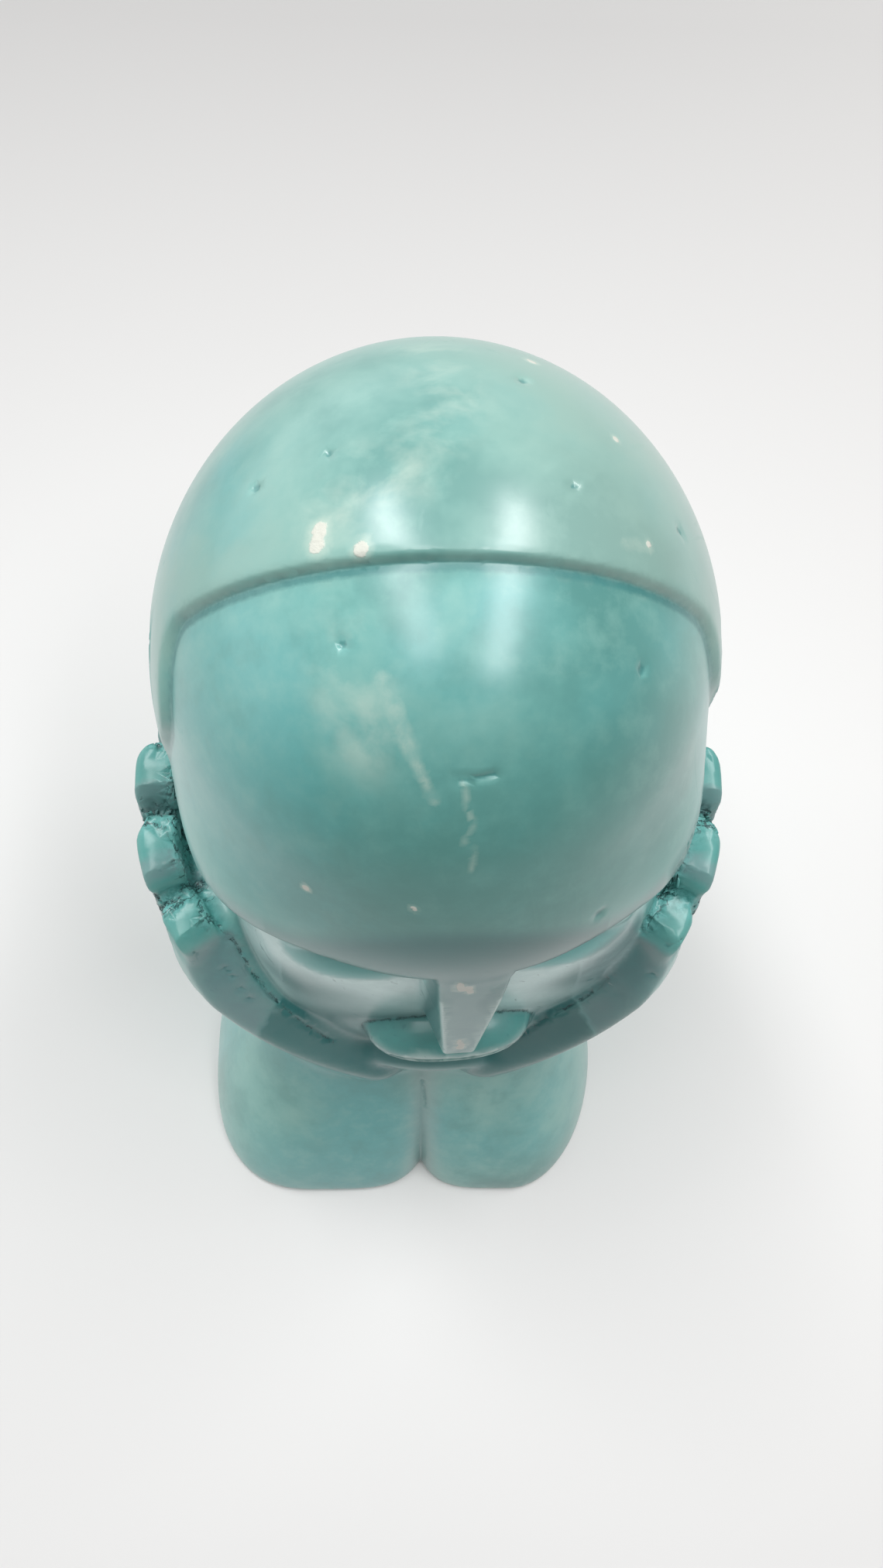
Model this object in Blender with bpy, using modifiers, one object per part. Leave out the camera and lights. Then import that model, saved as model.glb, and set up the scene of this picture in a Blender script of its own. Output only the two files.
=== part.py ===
"""Soapstone carving of a head resting in its own cupped hands: one block from crown to foot.

The stone's surface is worked out as a distance: each feature below returns, for an array of points, how far
they lie outside the stone (negative inside). Points are in millimetres from the middle of the head, X to the
carving's left-hand side in front view, Y to the back, Z up. A rough blank is drawn onto that surface,
thinned to an even budget of triangles, set on the ground and scaled to metres.
"""
import math

import bpy
import numpy as np

# Head, from its middle
HEAD_LIFT = 143.0        # middle of the head above the ground
SKULL_HALF_WIDTH = 47.6
SKULL_SHIFT = 0.5         # skull off the middle line
SKULL_FRONT = 54.0
SKULL_BACK = 51.9
SKULL_TOP = 49.2
SKULL_BELOW = 60.0
BROW_DROP = 9.0          # brow edge below the middle
BROW_HALF_WIDTH = 45.4
BROW_FRONT = 51.8
BROW_CENTRE = (-1.2, -20.0, -15.0)
BROW_BOXINESS = 2.6
KEEL_CENTRE = (0.0, -34.0, -6.0)   # swelling above the nose
KEEL_HALF_WIDTH = 27.0
KEEL_REACH = 55.2
FACE_TURN = math.radians(4.0)
FACE_SHIFT = 2.0

# Cap of hair
CAP_STEP = 1.6
CAP_EDGE = 1.5           # rounding of the cap's rim
HAIRLINE_FRONT = 10.9
HAIRLINE_SWEEP = 8.5     # further forward at the temples
HAIRLINE_SWEEP_TOP = 28.0
HAIRLINE_SWEEP_TALL = 18.0
NAPE_BACK = 30.0
NAPE_DROP = 44.0

# Face
FACE_HALF_WIDTH = 43.0
FACE_FRONT = 53.0
FACE_MIDDLE = 50.0       # middle of the mask below the head's
FACE_CORE = 16.0         # mask's middle forward of the head's
FACE_LEAN = 0.08
MASK_BELOW = 36.0
MASK_ABOVE = 46.0
FACE_DEPTH = 30.0        # behind the mask's middle
JAW_DROP = 76.0
JAW_TALL = 20.0
SOCKET_OUT = 21.0        # socket's middle from the nose's line
SOCKET_DROP = 12.0       # and below the brow
SOCKET_REACH = 58.0
LID_OUT = 20.0
LID_REACH = 42.0
LID_DROP = 14.0
NOSE_LENGTH = 42.0
NOSE_FRONT = 57.7        # ridge at the brow
NOSE_RISE = 5.6          # further forward at the tip
NOSE_TOP_WIDTH = 12.4
NOSE_SINKS_ABOVE = 4.0   # the brow, where the ridge starts to sink into it
NOSE_CROWN = 0.020       # roundness across the ridge where it runs into the forehead
NOSE_BLEND = 1.6         # fillet along its foot
NOSE_FLARE = 12.5        # half width where its sides run out into the brow
NOSE_TIP_WIDTH = 6.0
LIP_DROP = 59.5
LIP_HALF_WIDTH = 18.0
LIP_REACH = 11.4
LIP_FORWARD = 51.0
LIP_BELOW = 6.0          # of the lips' middle, under their top
LIP_TALL = 6.6
LIP_GROOVE = (20.0, 3.2, 1.3)
CHIN_DROP = 81.0
CHIN_HALF_WIDTH = 31.0
CHIN_REACH = 20.2
CHIN_FORWARD = 42.0
CHIN_DEPTH = 12.0        # behind the chin's middle
CHIN_ABOVE = 6.5
CHIN_BELOW = 9.0

# Cupped hands
HAND_HALF_WIDTH = 57.4
HAND_FRONT = 63.8
HAND_THICKNESS = 8.6
HAND_MIDDLE = 12.0       # middle of the cup, forward of the head's
HAND_SHIFT = 0.5         # cup off the middle line
FINGER_LENGTH = 40.0
FINGER_LEAN = 0.25
FINGER_EASE = 1.8        # rounding of a fingertip's edges
FINGER_ROUND = 0.08       # how its outer face curves in towards its back end
FINGER_SLOPE = 2.4       # length of the slope at its front end
PALM_SPLIT = (2.0, -76.0, -97.0)   # hollow between the heels of the hands
PALM_SPLIT_LEFT = 13.0
PALM_SPLIT_RIGHT = 14.0
PALM_SPLIT_DEPTH = 18.0
PALM_SPLIT_TALL = 15.0
HEEL_ROUNDING = 6.0      # of the heels where the hollow meets them
HAND_BACK = 12.0         # where the hands end behind
HEEL_FRONT = 60.0
HEEL_DROP = 97.0
FINGERTIPS = ((-18.5, 35.0, 13.0), (-1.0, 27.5, 12.6),    # bearing, drop, width
              (15.0, 29.0, 15.2), (29.6, 36.5, 10.6))
EDGE_BEARINGS = (-40, -30, 28, 38, 46, 50, 57, 66, 72, 78, 84, 90)
EDGE_DROPS = (60, 42, 39, 42, 51, 56, 61.5, 70, 74.5, 79, 82, 85)

# Forearms and foot
FOOT_LEFT = 55.5         # outward from the crease
FOOT_RIGHT = 46.0
FOOT_FRONT = 85.6
CREASE_SHIFT = 1.0       # crease off the middle line
FOOT_BACK = 44.0
WRIST_DROP = 88.0
WRIST_LEFT = 17.0        # middle and half width of each wrist
WRIST_LEFT_HALF = 20.5
WRIST_RIGHT = 14.0
WRIST_RIGHT_HALF = 19.0
WRIST_FORWARD = 32.0
WRIST_HALF_DEPTH = 24.0
LOBE_HALF_DEPTH = 37.0
ARMS_DROP = 80.0         # top of the forearms, inside the hands
NECK_DROP = 50.0
NECK_HALF_WIDTH = 31.0
NECK_HALF_DEPTH = 29.0
NECK_BACK = 2.0
NECK_FOOT_HALF_WIDTH = 50.0
LOBE_OVERLAP = 3.0       # each lobe past the middle line

# Mesh
FINEST_VOXEL = 1.7
TRIANGLES = 9600
MM = 0.001


def join(a, b, blend):
    """Both bodies together, run into each other over the blend."""
    near = np.maximum(blend - np.abs(a - b), 0) / blend
    return np.minimum(a, b) - near * near * blend / 4


def meet(a, b, blend):
    """Only what lies in both bodies, the edge eased over the blend."""
    return -join(-a, -b, blend)


def plane(p, point, normal):
    """Distance in front of a plane."""
    n = np.array(normal, float)
    return (p - np.array(point, float)) @ (n / np.linalg.norm(n))


def ramp(t):
    """Smooth 0 to 1."""
    t = np.clip(t, 0, 1)
    return t * t * (3 - 2 * t)


def turned(p, angle):
    """The points in a frame turned about Z."""
    c, s = math.cos(angle), math.sin(angle)
    return np.stack([c * p[:, 0] + s * p[:, 1], -s * p[:, 0] + c * p[:, 1], p[:, 2]], 1)


def mirrored(p):
    """Both sides folded onto one."""
    m = p.copy()
    m[:, 0] = np.abs(m[:, 0])
    return m


def egg(p, centre, low, high, power=2.0):
    """Rounded body whose radii differ on the low and the high side of each axis; a higher power is boxier."""
    q = p - np.array(centre, float)
    r = np.where(q < 0, np.array(low, float), np.array(high, float))
    a = np.abs(q) / r + 1e-9
    k = (a ** power).sum(1) ** (1 / power)
    g = a ** (power - 1) / r * (k ** (1 - power))[:, None]
    return (k - 1) / np.sqrt((g ** 2).sum(1))


def column(x, y, half_x, half_y, power):
    """Upright body with a rounded plan."""
    a = np.abs(x) / half_x + 1e-9
    b = np.abs(y) / half_y + 1e-9
    k = (a ** power + b ** power) ** (1 / power)
    slope = np.hypot(a ** (power - 1) / half_x, b ** (power - 1) / half_y) * k ** (1 - power)
    return (k - 1) / slope


def skull(p):
    low = (SKULL_HALF_WIDTH, SKULL_FRONT, SKULL_BELOW)
    high = (SKULL_HALF_WIDTH, SKULL_BACK, SKULL_TOP)
    return egg(p, (SKULL_SHIFT, 0, 0), low, high)


def forehead(p, f):
    """Skull swelling out over a boxier brow and a keel above the nose, cut off below the brow's edge."""
    front = BROW_FRONT + BROW_CENTRE[1]
    brow = egg(f, BROW_CENTRE, (BROW_HALF_WIDTH, front, 24), (BROW_HALF_WIDTH, 30, 26), BROW_BOXINESS)
    front = KEEL_REACH + KEEL_CENTRE[1]
    keel = egg(f, KEEL_CENTRE, (KEEL_HALF_WIDTH, front, 24), (KEEL_HALF_WIDTH, 20, 24))
    full = join(join(skull(p), brow, 10), keel, 8)
    under = plane(mirrored(f), (0, -BROW_FRONT, -BROW_DROP - 1.5), (0.06, -0.30, -1.0))
    behind = plane(f, (0, -30, 0), (0, -1, 0))
    return meet(full, join(under, behind, 6), 2.0)


def lower_face(f):
    """Boxy mask of cheeks and jaw, leaning forward as it goes down, with hollow sockets and closed lids."""
    lean = f.copy()
    lean[:, 1] = f[:, 1] - FACE_LEAN * (f[:, 2] + FACE_MIDDLE)
    reach = FACE_FRONT - FACE_CORE
    low = (FACE_HALF_WIDTH, reach, MASK_BELOW)
    high = (FACE_HALF_WIDTH, FACE_DEPTH, MASK_ABOVE)
    mask = egg(lean, (0, -FACE_CORE, -FACE_MIDDLE), low, high, 3.4)
    low = (FACE_HALF_WIDTH + 1, reach + 3, JAW_TALL)
    high = (FACE_HALF_WIDTH + 1, FACE_DEPTH, JAW_TALL)
    return join(mask, egg(f, (0, -FACE_CORE, -JAW_DROP), low, high, 2.6), 6)


def socket(f):
    m = mirrored(f)
    return egg(m, (SOCKET_OUT, -SOCKET_REACH, -BROW_DROP - SOCKET_DROP), (16, 14, 11), (19, 14, 13), 2.3)


def lid(f):
    m = mirrored(f)
    return egg(m, (LID_OUT, -LID_REACH, -BROW_DROP - LID_DROP), (13, 5.5, 6.0), (13, 5, 5.0))


def nose(f):
    """Flat tapering ridge with sloping sides and a blunt tip, sinking away above the brow, and its fillet."""
    fall = (-BROW_DROP - f[:, 2]) / NOSE_LENGTH
    along = np.clip(fall, 0, 1)
    above = np.clip(-fall, 0, 1)
    sunk = 0.012 * np.maximum(f[:, 2] + BROW_DROP - NOSE_SINKS_ABOVE, 0) ** 2
    crown = NOSE_CROWN * f[:, 0] ** 2 * ramp((f[:, 2] + BROW_DROP + 14) / 18)
    behind = f[:, 1] + NOSE_FRONT + NOSE_RISE * np.clip(fall, -1, 1) - sunk - crown
    half = (NOSE_TOP_WIDTH + (NOSE_TIP_WIDTH - NOSE_TOP_WIDTH) * along) / 2 + 1.5 * above
    side = np.abs(f[:, 0] - 1.2 * (1 - along)) - half - 0.34 * np.maximum(behind, 0)
    body = meet(side * 0.94, -behind * 0.98, 0.8)
    tip = plane(f, (0, -NOSE_FRONT - NOSE_RISE, -BROW_DROP - NOSE_LENGTH), (0, -0.25, -1))
    body = meet(meet(body, tip, 1.5), f[:, 2] - 12, 4)
    return np.maximum(body, f[:, 1] + 25), NOSE_BLEND * (1 - 0.8 * ramp(20 * above))


def nose_root(f):
    """Soft swelling under the brow, where the nose's sides run out into it."""
    radii = (NOSE_FLARE, 8.0, 5.5)
    return egg(f, (0.8, 10.2 - NOSE_FRONT, -BROW_DROP - 4.5), radii, radii)


def mouth(f):
    """Both lips as one shelf with a groove between them."""
    radii = (LIP_HALF_WIDTH, LIP_REACH, LIP_TALL)
    shelf = egg(f, (-0.8, -LIP_FORWARD, -LIP_DROP - LIP_BELOW), radii, radii, 2.6)
    middle = (-0.8, -LIP_FORWARD - LIP_REACH, -LIP_DROP - LIP_BELOW)
    groove = egg(f, middle, LIP_GROOVE, LIP_GROOVE)
    return meet(shelf, -groove, 0.8)


def chin(f):
    low = (CHIN_HALF_WIDTH, CHIN_REACH, CHIN_BELOW)
    high = (CHIN_HALF_WIDTH, CHIN_DEPTH, CHIN_ABOVE)
    return egg(f, (0, -CHIN_FORWARD, -CHIN_DROP - 2), low, high, 2.1)


def before_hairline(p):
    """How far points lie in front of the cap's rim, which curves round to the temples."""
    sweep = (HAIRLINE_SWEEP - 0.07 * p[:, 0]) * ramp((HAIRLINE_SWEEP_TOP - p[:, 2]) / HAIRLINE_SWEEP_TALL)
    return -HAIRLINE_FRONT + 0.0018 * p[:, 0] ** 2 + 0.02 * p[:, 0] - sweep - p[:, 1]


def hair_cap(p):
    """Skull grown by the step, kept behind the hairline and above the nape."""
    cap = meet(skull(p) - CAP_STEP, before_hairline(p), CAP_EDGE)
    return meet(cap, plane(p, (0, NAPE_BACK, -NAPE_DROP), (0, 0.35, -1)), 3.0)


def head(p):
    f = turned(p, FACE_TURN) - np.array((FACE_SHIFT, 0, 0))
    d = join(forehead(p, f), lower_face(f), 2.0)
    d = meet(d, -socket(f), 2.0)
    d = join(d, lid(f), 1.0)
    d = join(d, nose_root(f), 3.5)
    ridge, blend = nose(f)
    d = join(d, ridge, blend)
    d = join(d, mouth(f), 1.2)
    d = join(d, chin(f), 2.0)
    return join(d, hair_cap(p), 0.6)


def cup(m):
    """Outer surface of the cupped hands, narrowing down to the wrists."""
    drop = np.clip((-50 - m[:, 2]) / 50, 0, 1) ** 1.6
    half_y = np.where(m[:, 1] < -HAND_MIDDLE, HAND_FRONT - HAND_MIDDLE, 40.0)
    boxiness = 2.35 + 0.45 * ramp((-42 - m[:, 2]) / 16)
    return column(m[:, 0], m[:, 1] + HAND_MIDDLE, HAND_HALF_WIDTH - 20 * drop, half_y, boxiness)


def on_cup(bearing):
    """Plan point of the cup's rim at a bearing from the side towards the front."""
    c, s = math.cos(bearing), math.sin(bearing)
    front = HAND_FRONT - HAND_MIDDLE
    r = (abs(c / HAND_HALF_WIDTH) ** 2.35 + abs(s / front) ** 2.35) ** (-1 / 2.35)
    return np.array((r * c, -HAND_MIDDLE - r * s))


def finger(m, outside, bearing, drop, width):
    """Upright fingertip lying in the cup's wall, stepped down to the front."""
    here = on_cup(math.radians(bearing))
    ahead = on_cup(math.radians(bearing) + 0.08) - here
    ahead /= np.linalg.norm(ahead)
    up = m[:, 2] + drop
    along = (m[:, :2] - here) @ ahead + FINGER_LEAN * up
    back = np.clip(-along - 1.5, 0, 5)
    proud = 0.2 - 2.4 * ramp((-up - 8) / 26) - FINGER_ROUND * back ** 2
    across = outside + HAND_THICKNESS / 2 - proud
    half = width / 2 * (1 + np.clip(outside, -12, 2) / 45)
    tall = FINGER_LENGTH / 2
    fall = 0.15 * np.maximum(along, 0) + 1.0 * np.maximum(along - half + FINGER_SLOPE, 0)
    thick = HAND_THICKNESS / 2
    q = np.stack([np.abs(along) - half, np.abs(across) - thick, np.abs(up + tall) - tall + fall], 1)
    q += FINGER_EASE
    return 0.85 * (np.linalg.norm(np.maximum(q, 0), axis=1) + np.minimum(q.max(1), 0) - FINGER_EASE)


def hands(p):
    """Curved slabs round the jaw: four fingertips a side and a flat bevelled front edge down to the chin."""
    p = p - np.array((HAND_SHIFT, 0, 0))
    m = mirrored(p)
    outside = cup(m)
    bearing = np.degrees(np.arctan2(-(m[:, 1] + HAND_MIDDLE), m[:, 0]))
    edge = -sum(np.interp(bearing + shift, EDGE_BEARINGS, EDGE_DROPS) for shift in (-4, 0, 4)) / 3
    slope = 0.2 + 0.7 * ramp((bearing - 30) / 15)
    bevel = (m[:, 2] - edge + slope * np.clip(outside + HAND_THICKNESS + 1, 0, 20)) / (1 + 0.5 * slope)
    d = meet(outside, bevel, 1.5)
    for tip in FINGERTIPS:
        d = join(d, finger(m, outside, *tip), 1.5)
    floor = edge + 2.5 - 5.5 * ramp((bearing - 30) / 15)
    gap = meet(outside + HAND_THICKNESS - 0.3, floor - m[:, 2], 2)
    d = meet(d, -gap, 1.5)
    d = meet(d, plane(m, (0, HAND_BACK, -HEEL_FRONT), (0, 1, -0.2)), 5)
    low = (PALM_SPLIT_LEFT, PALM_SPLIT_DEPTH, PALM_SPLIT_TALL)
    high = (PALM_SPLIT_RIGHT, PALM_SPLIT_DEPTH, PALM_SPLIT_TALL)
    d = meet(d, -egg(p, PALM_SPLIT, low, high), HEEL_ROUNDING)
    return meet(d, plane(m, (0, -HEEL_FRONT, -HEEL_DROP), (0, -0.55, -1)), 3)


def forearm(p, flare, side, reach, wrist_middle, wrist_half, power):
    """One forearm, widening from the wrist to its lobe of the foot, boxier where it meets the other."""
    middle = side * (wrist_middle + (reach / 2 - wrist_middle) * flare)
    half = wrist_half + (reach / 2 - wrist_half) * flare
    arm_y = -WRIST_FORWARD + (LOBE_HALF_DEPTH + WRIST_FORWARD - FOOT_FRONT) * flare
    deep = WRIST_HALF_DEPTH + (LOBE_HALF_DEPTH - WRIST_HALF_DEPTH) * flare
    x = side * (p[:, 0] - CREASE_SHIFT - middle)
    half = np.where(x < 0, half + LOBE_OVERLAP, half)
    power = np.where(x < 0, 4.2, power)
    return column(x, p[:, 1] - arm_y, half, deep, power)


def foot(p):
    """Two forearms side by side and the neck behind them, spreading to a foot with a lobe a side."""
    fall = np.clip((-WRIST_DROP - p[:, 2]) / (HEAD_LIFT - WRIST_DROP), 0, 1)
    flare = 0.55 * ramp(fall) + 0.45 * fall
    left = forearm(p, flare, -1, FOOT_LEFT, WRIST_LEFT, WRIST_LEFT_HALF, 2.6)
    right = forearm(p, flare, 1, FOOT_RIGHT, WRIST_RIGHT, WRIST_RIGHT_HALF, 2.0)
    arms = meet(join(left, right, 1.0), p[:, 2] + ARMS_DROP, 4)
    spread = ramp((-NECK_DROP - p[:, 2]) / (HEAD_LIFT - NECK_DROP))
    wide = NECK_HALF_WIDTH + (NECK_FOOT_HALF_WIDTH - NECK_HALF_WIDTH) * spread
    deep = NECK_HALF_DEPTH + (FOOT_BACK - NECK_BACK - NECK_HALF_DEPTH) * spread
    neck = column(p[:, 0] + 3 * flare, p[:, 1] - NECK_BACK, wide, deep, 2.5)
    return join(arms, meet(neck, p[:, 2] + NECK_DROP, 4), 9)


def carving(p):
    d = join(head(p), hands(p), 2 + 6 * ramp((p[:, 1] + 22) / 20))
    d = join(d, foot(p), 4)
    return meet(d, -HEAD_LIFT - p[:, 2], 2.5)


def nearest(p, longest):
    """Points moved once towards the surface, and the surface's normals there."""
    d = carving(p)
    slope = np.stack([carving(p + e) - d for e in np.eye(3) * 0.05], 1) / 0.05
    steep = np.linalg.norm(slope, axis=1) + 1e-3
    normal = slope / steep[:, None]
    return p - normal * np.clip(d / steep, -longest, longest)[:, None], normal


def vertices(obj):
    flat = np.empty(len(obj.data.vertices) * 3, np.float32)
    obj.data.vertices.foreach_get("co", flat)
    return flat.reshape(-1, 3).astype(float)


def place(obj, points):
    obj.data.vertices.foreach_set("co", points.astype(np.float32).ravel())
    obj.data.update()


def apply(obj, kind, **values):
    modifier = obj.modifiers.new(kind.title(), kind)
    for name, value in values.items():
        setattr(modifier, name, value)
    bpy.context.view_layer.objects.active = obj
    bpy.ops.object.modifier_apply(modifier=modifier.name)


def links(obj):
    """Each vertex with itself and its neighbours, as rows of to and from, and how many each has."""
    ends = np.empty(len(obj.data.edges) * 2, np.int64)
    obj.data.edges.foreach_get("vertices", ends)
    one, other = ends.reshape(-1, 2).T
    own = np.arange(len(obj.data.vertices))
    to = np.concatenate([one, other, own])
    return to, np.concatenate([other, one, own]), np.bincount(to)


def gather(values, to):
    """Sum of the rows that go to each vertex."""
    return np.stack([np.bincount(to, column) for column in values.T], 1)


def sink(obj, steps, longest):
    """The mesh evens out and follows its own normals onto the surface, also down to the floors of gaps."""
    to, of, count = links(obj)
    for _ in range(steps):
        p = vertices(obj)
        place(obj, gather(p[of], to) / count[:, None])
        p = vertices(obj)
        normal = np.empty(p.size, np.float32)
        obj.data.vertex_normals.foreach_get("vector", normal)
        place(obj, p - normal.reshape(-1, 3) * np.clip(carving(p), -longest, longest)[:, None])


def sharpen(obj, passes):
    """Vertices even out over smooth stone and slide onto its edges, where their neighbours' planes cross."""
    to, of, count = links(obj)
    for _ in range(passes):
        p, normal = nearest(vertices(obj), 2)
        spread = (normal[:, :, None] * normal[:, None, :]).reshape(-1, 9)
        level = normal * (normal * p).sum(1)[:, None]
        middle = gather(p[of], to) / count[:, None]
        left = gather(spread[of], to).reshape(-1, 3, 3) + 0.12 * np.eye(3)
        right = gather(level[of], to) + 0.12 * middle
        crossing = np.linalg.solve(left, right[:, :, None])[:, :, 0]
        move = crossing - middle
        size = np.linalg.norm(move, axis=1)
        place(obj, middle + move * np.minimum(1, FINEST_VOXEL / np.maximum(size, 1e-9))[:, None])
    place(obj, nearest(vertices(obj), 0.5)[0])


def blank(name):
    """Rough egg a little larger than the carving, in millimetres."""
    bpy.ops.mesh.primitive_uv_sphere_add(segments=48, ring_count=32, radius=1)
    obj = bpy.context.object
    obj.name = obj.data.name = name
    tall = HEAD_LIFT + SKULL_TOP
    obj.scale = (HAND_HALF_WIDTH + 6, FOOT_FRONT - 12, tall * 0.6)
    obj.location = (0, -12, SKULL_TOP - tall / 2)
    bpy.ops.object.transform_apply(location=True, rotation=True, scale=True)
    return obj


def carve(obj):
    """Coarse to fine, the blank is remeshed and drawn onto the surface, then thinned."""
    for size, steps in ((4, 12), (2.5, 8), (1.5, 6), (1, 5), (1, 5), (1, 5), (1, 0)):
        apply(obj, "REMESH", mode="VOXEL", voxel_size=FINEST_VOXEL * size, adaptivity=0)
        sink(obj, steps, FINEST_VOXEL * size * 0.6)
    sharpen(obj, 8)
    apply(obj, "TRIANGULATE")
    apply(obj, "DECIMATE", ratio=TRIANGLES / len(obj.data.polygons))


def set_down(obj):
    """Flat underside on the ground, middle of the outline over the origin, metres."""
    p = vertices(obj)
    p[:, 2] += HEAD_LIFT
    p[p[:, 2] < 0.3, 2] = 0
    p[:, :2] -= (p[:, :2].min(0) + p[:, :2].max(0)) / 2
    place(obj, p * MM)
    for face in obj.data.polygons:
        face.use_smooth = True


def stone():
    material = bpy.data.materials.new("dyed_soapstone")
    material.use_nodes = True
    shader = material.node_tree.nodes["Principled BSDF"]
    shader.inputs["Base Color"].default_value = (0.19, 0.42, 0.40, 1)
    shader.inputs["Roughness"].default_value = 0.32
    shader.inputs["Metallic"].default_value = 0.0
    return material


def build():
    for old in list(bpy.data.objects):
        bpy.data.objects.remove(old, do_unlink=True)
    obj = blank("head_in_hands_carving")
    carve(obj)
    set_down(obj)
    obj.data.materials.append(stone())
    group = bpy.data.collections.new("head_in_hands")
    bpy.context.scene.collection.children.link(group)
    for old in list(obj.users_collection):
        old.objects.unlink(obj)
    group.objects.link(obj)


build()
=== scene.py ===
"""Looks of the soapstone carving: its fine surface, dyed and waxed stone, floor, light and camera.

The surface is worked out as a distance, as the part's is: each feature returns how far points lie outside the
stone. Points are in millimetres from the middle of the head, X to the right as the photograph shows it, Y to
the back, Z up, and are turned into metres on the ground at the end. Left and right are the photograph's.
"""

import math

import bmesh
import bpy
import numpy as np
from mathutils import Matrix, Vector


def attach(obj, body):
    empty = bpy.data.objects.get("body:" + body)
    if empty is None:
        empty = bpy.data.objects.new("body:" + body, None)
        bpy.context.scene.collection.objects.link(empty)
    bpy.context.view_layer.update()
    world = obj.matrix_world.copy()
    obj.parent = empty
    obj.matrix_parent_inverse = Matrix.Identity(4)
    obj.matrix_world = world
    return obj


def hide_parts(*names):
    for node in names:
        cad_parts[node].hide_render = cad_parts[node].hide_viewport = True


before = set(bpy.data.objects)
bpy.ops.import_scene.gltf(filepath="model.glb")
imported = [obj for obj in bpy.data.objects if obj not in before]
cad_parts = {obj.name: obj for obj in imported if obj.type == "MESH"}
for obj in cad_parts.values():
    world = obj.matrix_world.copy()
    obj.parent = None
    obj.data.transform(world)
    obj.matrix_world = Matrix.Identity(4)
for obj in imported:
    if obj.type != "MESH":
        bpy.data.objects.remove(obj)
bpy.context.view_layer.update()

NODE = "head_in_hands_carving"

# Head, from its middle
HEAD_LIFT = 143.0        # middle of the head above the ground
SKULL_HALF_WIDTH = 47.6
SKULL_SHIFT = 0.5        # skull off the middle line
SKULL_FRONT = 54.0
SKULL_BACK = 51.9
SKULL_TOP = 49.2
SKULL_BELOW = 60.0
BROW_DROP = 9.0          # brow edge below the middle
BROW_HALF_WIDTH = 45.4
BROW_FRONT = 51.8
BROW_CENTRE = (-1.2, -20.0, -15.0)
BROW_DEPTH = 30.0        # behind the brow's own middle
BROW_BELOW = 24.0
BROW_ABOVE = 26.0
BROW_BOXINESS = 2.6
BROW_BLEND = 10.0        # run of the brow into the skull
BROW_EDGE = 2.0          # rounding of its lower edge
UNDER_BROW = ((0, -BROW_FRONT, -BROW_DROP - 1.5), (0.06, -0.30, -1.0))    # cut under it: point and slope
UNDERCUT_BACK = 30.0     # where that cut ends, in front of the head's middle
UNDERCUT_BLEND = 6.0
KEEL_CENTRE = (0.0, -34.0, -6.0)   # swelling above the nose
KEEL_HALF_WIDTH = 27.0
KEEL_REACH = 55.2
KEEL_DEPTH = 20.0
KEEL_TALL = 24.0
KEEL_BLEND = 8.0
FACE_TURN = math.radians(4.0)
FACE_SHIFT = 2.0

# Cap of hair
CAP_STEP = 1.6
CAP_EDGE = 1.5           # rounding of the cap's rim
HAIRLINE_FRONT = 10.9
HAIRLINE_SWEEP = 8.5     # further forward at the temples
HAIRLINE_SWEEP_TOP = 28.0
HAIRLINE_SWEEP_TALL = 18.0
HAIRLINE_SWEEP_SKEW = 0.07    # more of it on the left
HAIRLINE_CURVE = 0.0018
HAIRLINE_SKEW = 0.02
NAPE_BACK = 30.0
NAPE_DROP = 44.0
NAPE_SLOPE = (0, 0.35, -1)
NAPE_EDGE = 3.0

# Face
FACE_HALF_WIDTH = 43.0
FACE_FRONT = 53.0
FACE_MIDDLE = 50.0       # middle of the mask below the head's
FACE_CORE = 16.0         # mask's middle forward of the head's
FACE_LEAN = 0.08
MASK_BELOW = 36.0
MASK_ABOVE = 46.0
MASK_BOXINESS = 3.4
FACE_DEPTH = 30.0        # behind the mask's middle
JAW_DROP = 76.0
JAW_TALL = 20.0
JAW_WIDER = 1.0          # than the mask, on each side
JAW_FORWARD = 3.0
JAW_BOXINESS = 2.6
JAW_BLEND = 6.0
SOCKET_OUT = 21.0        # socket's middle from the nose's line
SOCKET_DROP = 12.0       # and below the brow
SOCKET_REACH = 58.0
SOCKET_RADII = ((16.0, 14.0, 11.0), (19.0, 14.0, 13.0))    # inwards, forwards, down; outwards, back, up
SOCKET_BOXINESS = 2.3
LID_OUT = 20.0
LID_REACH = 42.0
LID_DROP = 14.0
LID_RADII = ((13.0, 5.5, 6.0), (13.0, 5.0, 5.0))
NOSE_LENGTH = 42.0
NOSE_FRONT = 57.7        # ridge at the brow
NOSE_RISE = 5.6          # further forward at the tip
NOSE_TOP_WIDTH = 12.4
NOSE_SHIFT = 1.2         # ridge off the face's middle at the brow
NOSE_SIDE_SLOPE = 0.34
NOSE_TIP_SLOPE = (0, -0.25, -1)
NOSE_TOP = 12.0          # its upper and back ends, inside the forehead
NOSE_BACK = 25.0
NOSE_SINKS_ABOVE = 4.0   # the brow, where the ridge starts to sink into it
NOSE_SINKING = 0.012
NOSE_CROWN = 0.020       # roundness across the ridge where it runs into the forehead
NOSE_BLEND = 1.6         # fillet along its foot
NOSE_FLARE = 12.5        # half width where its sides run out into the brow
ROOT_RADII = (NOSE_FLARE, 8.0, 5.5)
ROOT_CENTRE = (0.8, 10.2 - NOSE_FRONT, -BROW_DROP - 4.5)
NOSE_TIP_WIDTH = 6.0
LIP_DROP = 59.5
LIP_HALF_WIDTH = 18.0
LIP_REACH = 11.4
LIP_FORWARD = 51.0
LIP_BELOW = 6.0          # of the lips' middle, under their top
LIP_TALL = 6.6
LIP_SHIFT = -0.8         # off the face's middle
LIP_BOXINESS = 2.6
LIP_GROOVE = (20.0, 3.2, 1.3)
CHIN_DROP = 81.0
CHIN_HALF_WIDTH = 31.0
CHIN_REACH = 20.2
CHIN_FORWARD = 42.0
CHIN_DEPTH = 12.0        # behind the chin's middle
CHIN_ABOVE = 6.5
CHIN_BELOW = 9.0
CHIN_BOXINESS = 2.1

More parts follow.
